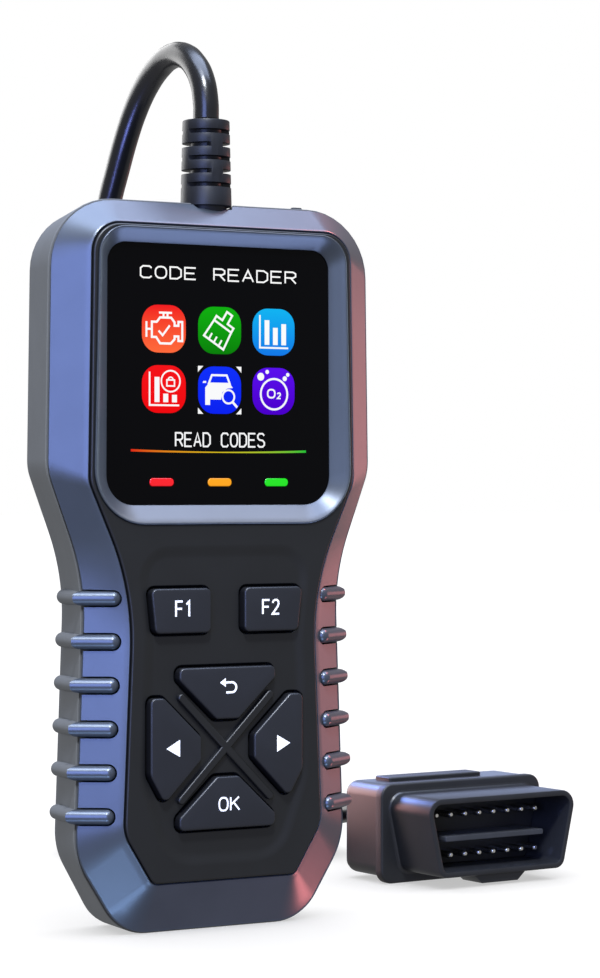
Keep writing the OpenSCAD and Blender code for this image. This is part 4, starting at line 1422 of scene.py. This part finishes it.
class READER_OT_legends(Operator):
    """Prints the keys' legends"""
    bl_idname = "reader.legends"
    bl_label = "Legends"

    def execute(self, context):
        y = Y_KEY - 0.02
        arrow_path = [(-0.9, 1.0), (0.6, 1.0)]
        arrow_path += circle_path(0.6, 0.0, 1.0, 12, 80, -160) + [(0.2, -1.0), (-0.7, -1.0)]
        arrow = [stroke(moved(arrow_path, 0.2, PAD_Z + 12.0), 0.42, y),
                 flat_shape("tip", moved([(-2.1, 1.0), (-0.8, 0.1), (-0.8, 1.9)], 0.2, PAD_Z + 12.0), y)]
        left = moved([(-1.75, 0), (1.3, -1.7), (1.3, 1.7)], -12.2, PAD_Z + 0.3)
        right = moved([(1.75, 0), (-1.3, 1.7), (-1.3, -1.7)], 12.5, PAD_Z + 0.3)
        marks = {
            "key_f1": lettering("F1", -10.05, FUNCTION_Z + 0.4, 3.4, 3.9, y),
            "key_f2": lettering("F2", 9.7, FUNCTION_Z + 0.4, 3.2, 4.0, y),
            "key_back": arrow,
            "key_ok": lettering("OK", 0.1, PAD_Z - 11.3, 2.95, 4.7, y),
            "key_left": [flat_shape("left", left, y)],
            "key_right": [flat_shape("right", right, y)],
        }
        for name, shapes in marks.items():
            hold(joined(name.replace("key_", "legend_"), shapes), legend_ink(), KEY_BODIES[name])
        return {"FINISHED"}


class READER_OT_port_cover(Operator):
    """Makes the rubber cover of the port with its pull tab"""
    bl_idname = "reader.port_cover"
    bl_label = "Port cover"

    def execute(self, context):
        lo, hi = low("port_cover"), high("port_cover")
        x, y = (lo.x + hi.x) / 2, PORT_Y
        z1 = BODY_H - 3.5

        def layer(grow, z, half_x=4.4, half_y=2.0, r=1.0):
            corners = box_corners(x - half_x, y - half_y, x + half_x, y + half_y, r)
            return [Vector((p.x, p.y, z)) for p in outline(inset(corners, -grow), 5)]

        lid = skin("port_lid", [layer(0, z1), layer(0, BODY_H - 1.1), layer(-0.12, BODY_H - 0.88),
                                layer(-0.4, BODY_H - 0.8)])
        stem = skin("stem", [layer(-0.3, lo.z, 3.1, 1.1, 0.4), layer(0, lo.z + 0.3, 3.1, 1.1, 0.4),
                             layer(0, z1 + 0.2, 3.1, 1.1, 0.4)])
        tab_corners = box_corners(x - 1.2, y - 2, x + 1.2, y - 0.8, 0.4)
        tab = skin("tab", [[Vector((p.x, p.y, z)) for p in outline(inset(tab_corners, d), 4)]
                           for d, z in ((0, BODY_H - 1), (0, hi.z + 0.4), (0.2, hi.z + 0.6))])
        hold(joined("port_lid", [lid, stem, tab]), port_rubber(), "cover", ["port_cover"])
        return {"FINISHED"}


class READER_OT_inside(Operator):
    """Gives the fasteners and the pieces inside their finishes"""
    bl_idname = "reader.inside"
    bl_label = "Fasteners and inside"

    def execute(self, context):
        # Solder mask on glass-epoxy board: green, semi-gloss, with a faint weave
        board = finish("solder_mask", {"Roughness": 0.35, "IOR": 1.5}, 0.5, 0.01,
                       (linear("#0f4727"), linear("#145530")), 6)
        # Moulded epoxy of the chips: matt, almost black
        epoxy = finish("moulded_epoxy", {"Roughness": 0.65}, 0.2, 0.008,
                       (linear("#1d1d20"), linear("#26262a")), 3)
        # White nylon of the header and the lamp bodies: a little see-through
        nylon = finish("white_nylon", {"Roughness": 0.45, "Subsurface Weight": 0.15}, 0.3, 0.006,
                       (linear("#e6e0d0"), linear("#efeadc")), 4)
        # Silicone sheet under the keys: grey and matt
        silicone = finish("silicone_sheet", {"Roughness": 0.6, "IOR": 1.43}, 0.4, 0.01,
                          (linear("#55585e"), linear("#63666c")), 6)
        # The display's polariser film: black and glossy
        film = finish("polariser_film", {"Base Color": linear("#07080b"), "Roughness": 0.15}, 0.8, 0.001)
        # The backlight's white reflector: matt polyester film
        reflector = finish("polyester_reflector", {"Roughness": 0.7}, 0.4, 0.004,
                           (linear("#e4e4e0"), linear("#eeeeea")), 6)
        dressed = {"main_board": board, "plug_board": board, "chips": epoxy, "buzzer": epoxy,
                   "indicator_leds": nylon, "cable_header": nylon, "key_mat": silicone,
                   "key_switches": steel(), "board_screws": steel(), "case_screws": steel(),
                   "plug_screws": steel(), "port": steel(), "display_module": film, "backlight": reflector}
        for node, material in dressed.items():
            dress(node, material)
        return {"FINISHED"}


class READER_OT_declare_cord(Operator):
    """Works out the cable's first point in metres and does nothing with it"""
    bl_idname = "reader.declare_cord"
    bl_label = "Cable facts"

    def execute(self, context):
        tuple(Vector(UPPER_ROUTE[0]) * MM)
        return {"FINISHED"}


def group_of(name, pieces, state="INCLUDE"):
    """A collection that says which pieces a lamp falls on, or leaves out."""
    group = bpy.data.collections.new(name)
    for piece in pieces:
        group.objects.link(piece)
    for entry in group.collection_objects:
        entry.light_linking.link_state = state
    return group


class READER_OT_stage(Operator):
    """Sets the pale floor and the soft studio lights"""
    bl_idname = "reader.stage"
    bl_label = "Stage"

    def execute(self, context):
        deselect()
        bpy.ops.mesh.primitive_plane_add(size=16)
        floor = context.object
        floor.name = "floor"
        # Matt white paper with light coming up through it, so that it stays pale to its edge
        floor.data.materials.append(finish("matt_paper", {
            "Base Color": linear("#c4c4c6"), "Roughness": 0.95, "Specular IOR Level": 0.0,
            "Emission Color": linear("#ffffff"), "Emission Strength": 0.5}, 2.0, 0.02))
        floor.visible_glossy = False
        floor.visible_diffuse = False
        floor.visible_shadow = False
        paper = group_of("paper", [floor])
        off_paper = group_of("off_paper", [floor], "EXCLUDE")
        named = bpy.data.objects
        others = [floor, named["back_case"], named["screen_frame"]]
        front = group_of("off_paper_back_and_frame", others, "EXCLUDE")
        back = group_of("back_only", [named["back_case"]])
        frame_only = group_of("frame_only", [named["screen_frame"]])
        cable = group_of("cable_only", [named["cable"]])
        case = group_of("case_only", [named["front_case"]])
        plug = group_of("plug_only", [piece for piece in named if piece.name.startswith("plug")])
        # Name, direction from the reader, distance, width, height, colour, power, what it falls on
        lights = [
            ("blue_softbox", (-0.69, -0.71, 0.19), 0.9, 0.42, 0.62, "#869bea", 8.4, front),
            ("red_softbox", (0.99, 0.2, -0.01), 0.8, 0.3, 0.28, "#ff9592", 0.82, front),
            ("top_softbox", (0.0, -0.12, 0.99), 0.8, 0.9, 0.6, "#cbdcff", 13.5, off_paper),
            ("corner_light", (-0.29, -0.53, 0.79), 0.7, 0.09, 0.1, "#f0f6ff", 7, off_paper),
            ("corner_red", (0.61, -0.13, 0.78), 0.7, 0.12, 0.12, "#ff8a80", 3.2, case),
            ("low_blue", (-0.32, -0.53, -0.78), 0.6, 0.16, 0.16, "#a9ccff", 1.2, case),
            ("low_red", (0.8, -0.09, -0.62), 0.6, 0.13, 0.13, "#ff8886", 0.85, case),
            ("side_softbox", (-0.8, 0.3, 0.0), 0.9, 0.5, 0.8, "#dfe6ee", 4, back),
            ("back_softbox", (-0.2, 0.95, 0.35), 0.9, 0.8, 0.8, "#ffffff", 6, front),
            ("frame_left_light", (-0.69, -0.71, 0.1), 0.9, 0.5, 0.5, "#a8bce6", 3, frame_only),
            ("frame_right_light", (0.99, 0.11, 0.0), 0.8, 0.5, 0.5, "#d8e8ee", 3.2, frame_only),
            ("frame_low_light", (0.5, -0.13, -0.86), 0.6, 0.4, 0.4, "#b0c4f6", 4.5, frame_only),
            ("frame_high_light", (0.5, -0.3, 0.81), 0.6, 0.4, 0.4, "#fff6f0", 2.0, frame_only),
            ("plug_light", (-0.5, 0.85, 0.15), 0.7, 0.6, 0.4, "#ffaca8", 4, plug),
            ("plug_edge_light", (-0.15, 0.81, 0.56), 0.7, 0.3, 0.2, "#6f94ff", 6, plug),
            ("plug_top_light", (0.5, 0.86, 0.14), 0.7, 0.5, 0.3, "#a9c0f8", 0.8, plug),
            ("cable_light", (-0.68, -0.2, -0.7), 0.7, 0.2, 0.2, "#7d8cf2", 3, cable),
        ]
        centre = Vector((20, 0, 80)) * MM
        for name, way, distance, width, height, hex_colour, power, receivers in lights:
            aim = Vector(way).normalized()
            bpy.ops.object.light_add(type="AREA", location=centre + aim * distance)
            lamp = context.object
            lamp.name = name
            lamp.rotation_euler = aim.to_track_quat("Z", "Y").to_euler()
            lamp.data.shape = "RECTANGLE"
            lamp.data.size = width
            lamp.data.size_y = height
            lamp.data.color = linear(hex_colour)[:3]
            lamp.data.energy = power
            lamp.visible_camera = False
            lamp.light_linking.receiver_collection = receivers
        bpy.ops.object.light_add(type="SUN", location=(0, 0, 1))
        sky = context.object
        sky.name = "floor_light"
        sky.data.energy = 2.6
        sky.data.angle = math.radians(100)
        sky.light_linking.receiver_collection = paper
        world = bpy.data.worlds.new("studio")
        context.scene.world = world
        world.use_nodes = True
        tree = world.node_tree
        room = tree.nodes["Background"]
        room.inputs["Color"].default_value = linear("#f2f2f2")
        room.inputs["Strength"].default_value = 0.4
        backdrop = add_node(tree, "ShaderNodeBackground", {"Color": (1, 1, 1, 1), "Strength": 1.0})
        seen = add_node(tree, "ShaderNodeLightPath")
        mix = add_node(tree, "ShaderNodeMixShader", None,
                       {0: seen.outputs["Is Camera Ray"], 1: room.outputs[0], 2: backdrop.outputs[0]})
        tree.links.new(mix.outputs[0], tree.nodes["World Output"].inputs["Surface"])
        context.scene.view_settings.view_transform = "Standard"
        return {"FINISHED"}


PIECES = (READER_OT_camera, READER_OT_cable, READER_OT_reliefs, READER_OT_coil_tie, READER_OT_plug_shell,
          READER_OT_plug_contacts, READER_OT_front_case, READER_OT_back_case, READER_OT_face_panel,
          READER_OT_screen_frame, READER_OT_screen_glass, READER_OT_screen_picture, READER_OT_keys,
          READER_OT_legends, READER_OT_port_cover, READER_OT_inside, READER_OT_declare_cord, READER_OT_stage)


class READER_PT_sidebar(Panel):
    """Lists the reader's pieces, its sizes and its colours"""
    bl_idname = "READER_PT_sidebar"
    bl_label = "Code Reader"
    bl_space_type = "VIEW_3D"
    bl_region_type = "UI"
    bl_category = "Code Reader"

    def draw(self, context):
        column = self.layout.column()
        for group in (context.scene.reader_case, context.scene.reader_cord, context.scene.reader_colours):
            for key in group.bl_rna.properties.keys():
                if key not in ("rna_type", "name"):
                    column.prop(group, key)
        for piece in PIECES:
            column.operator(piece.bl_idname)


GROUPS = (CaseSizes, CordSizes, FinishColours)


def register():
    """Adds the classes, and the sizes and colours of the scene."""
    for cls in GROUPS + PIECES + (READER_PT_sidebar,):
        bpy.utils.register_class(cls)
    bpy.types.Scene.reader_case = PointerProperty(type=CaseSizes)
    bpy.types.Scene.reader_cord = PointerProperty(type=CordSizes)
    bpy.types.Scene.reader_colours = PointerProperty(type=FinishColours)


def unregister():
    """Takes away what register added."""
    del bpy.types.Scene.reader_case
    del bpy.types.Scene.reader_cord
    del bpy.types.Scene.reader_colours
    for cls in reversed(GROUPS + PIECES + (READER_PT_sidebar,)):
        bpy.utils.unregister_class(cls)


def main():
    """Builds every piece in order."""
    register()
    for piece in PIECES:
        getattr(bpy.ops.reader, piece.bl_idname.split(".")[1])()


if __name__ == "__main__":
    main()
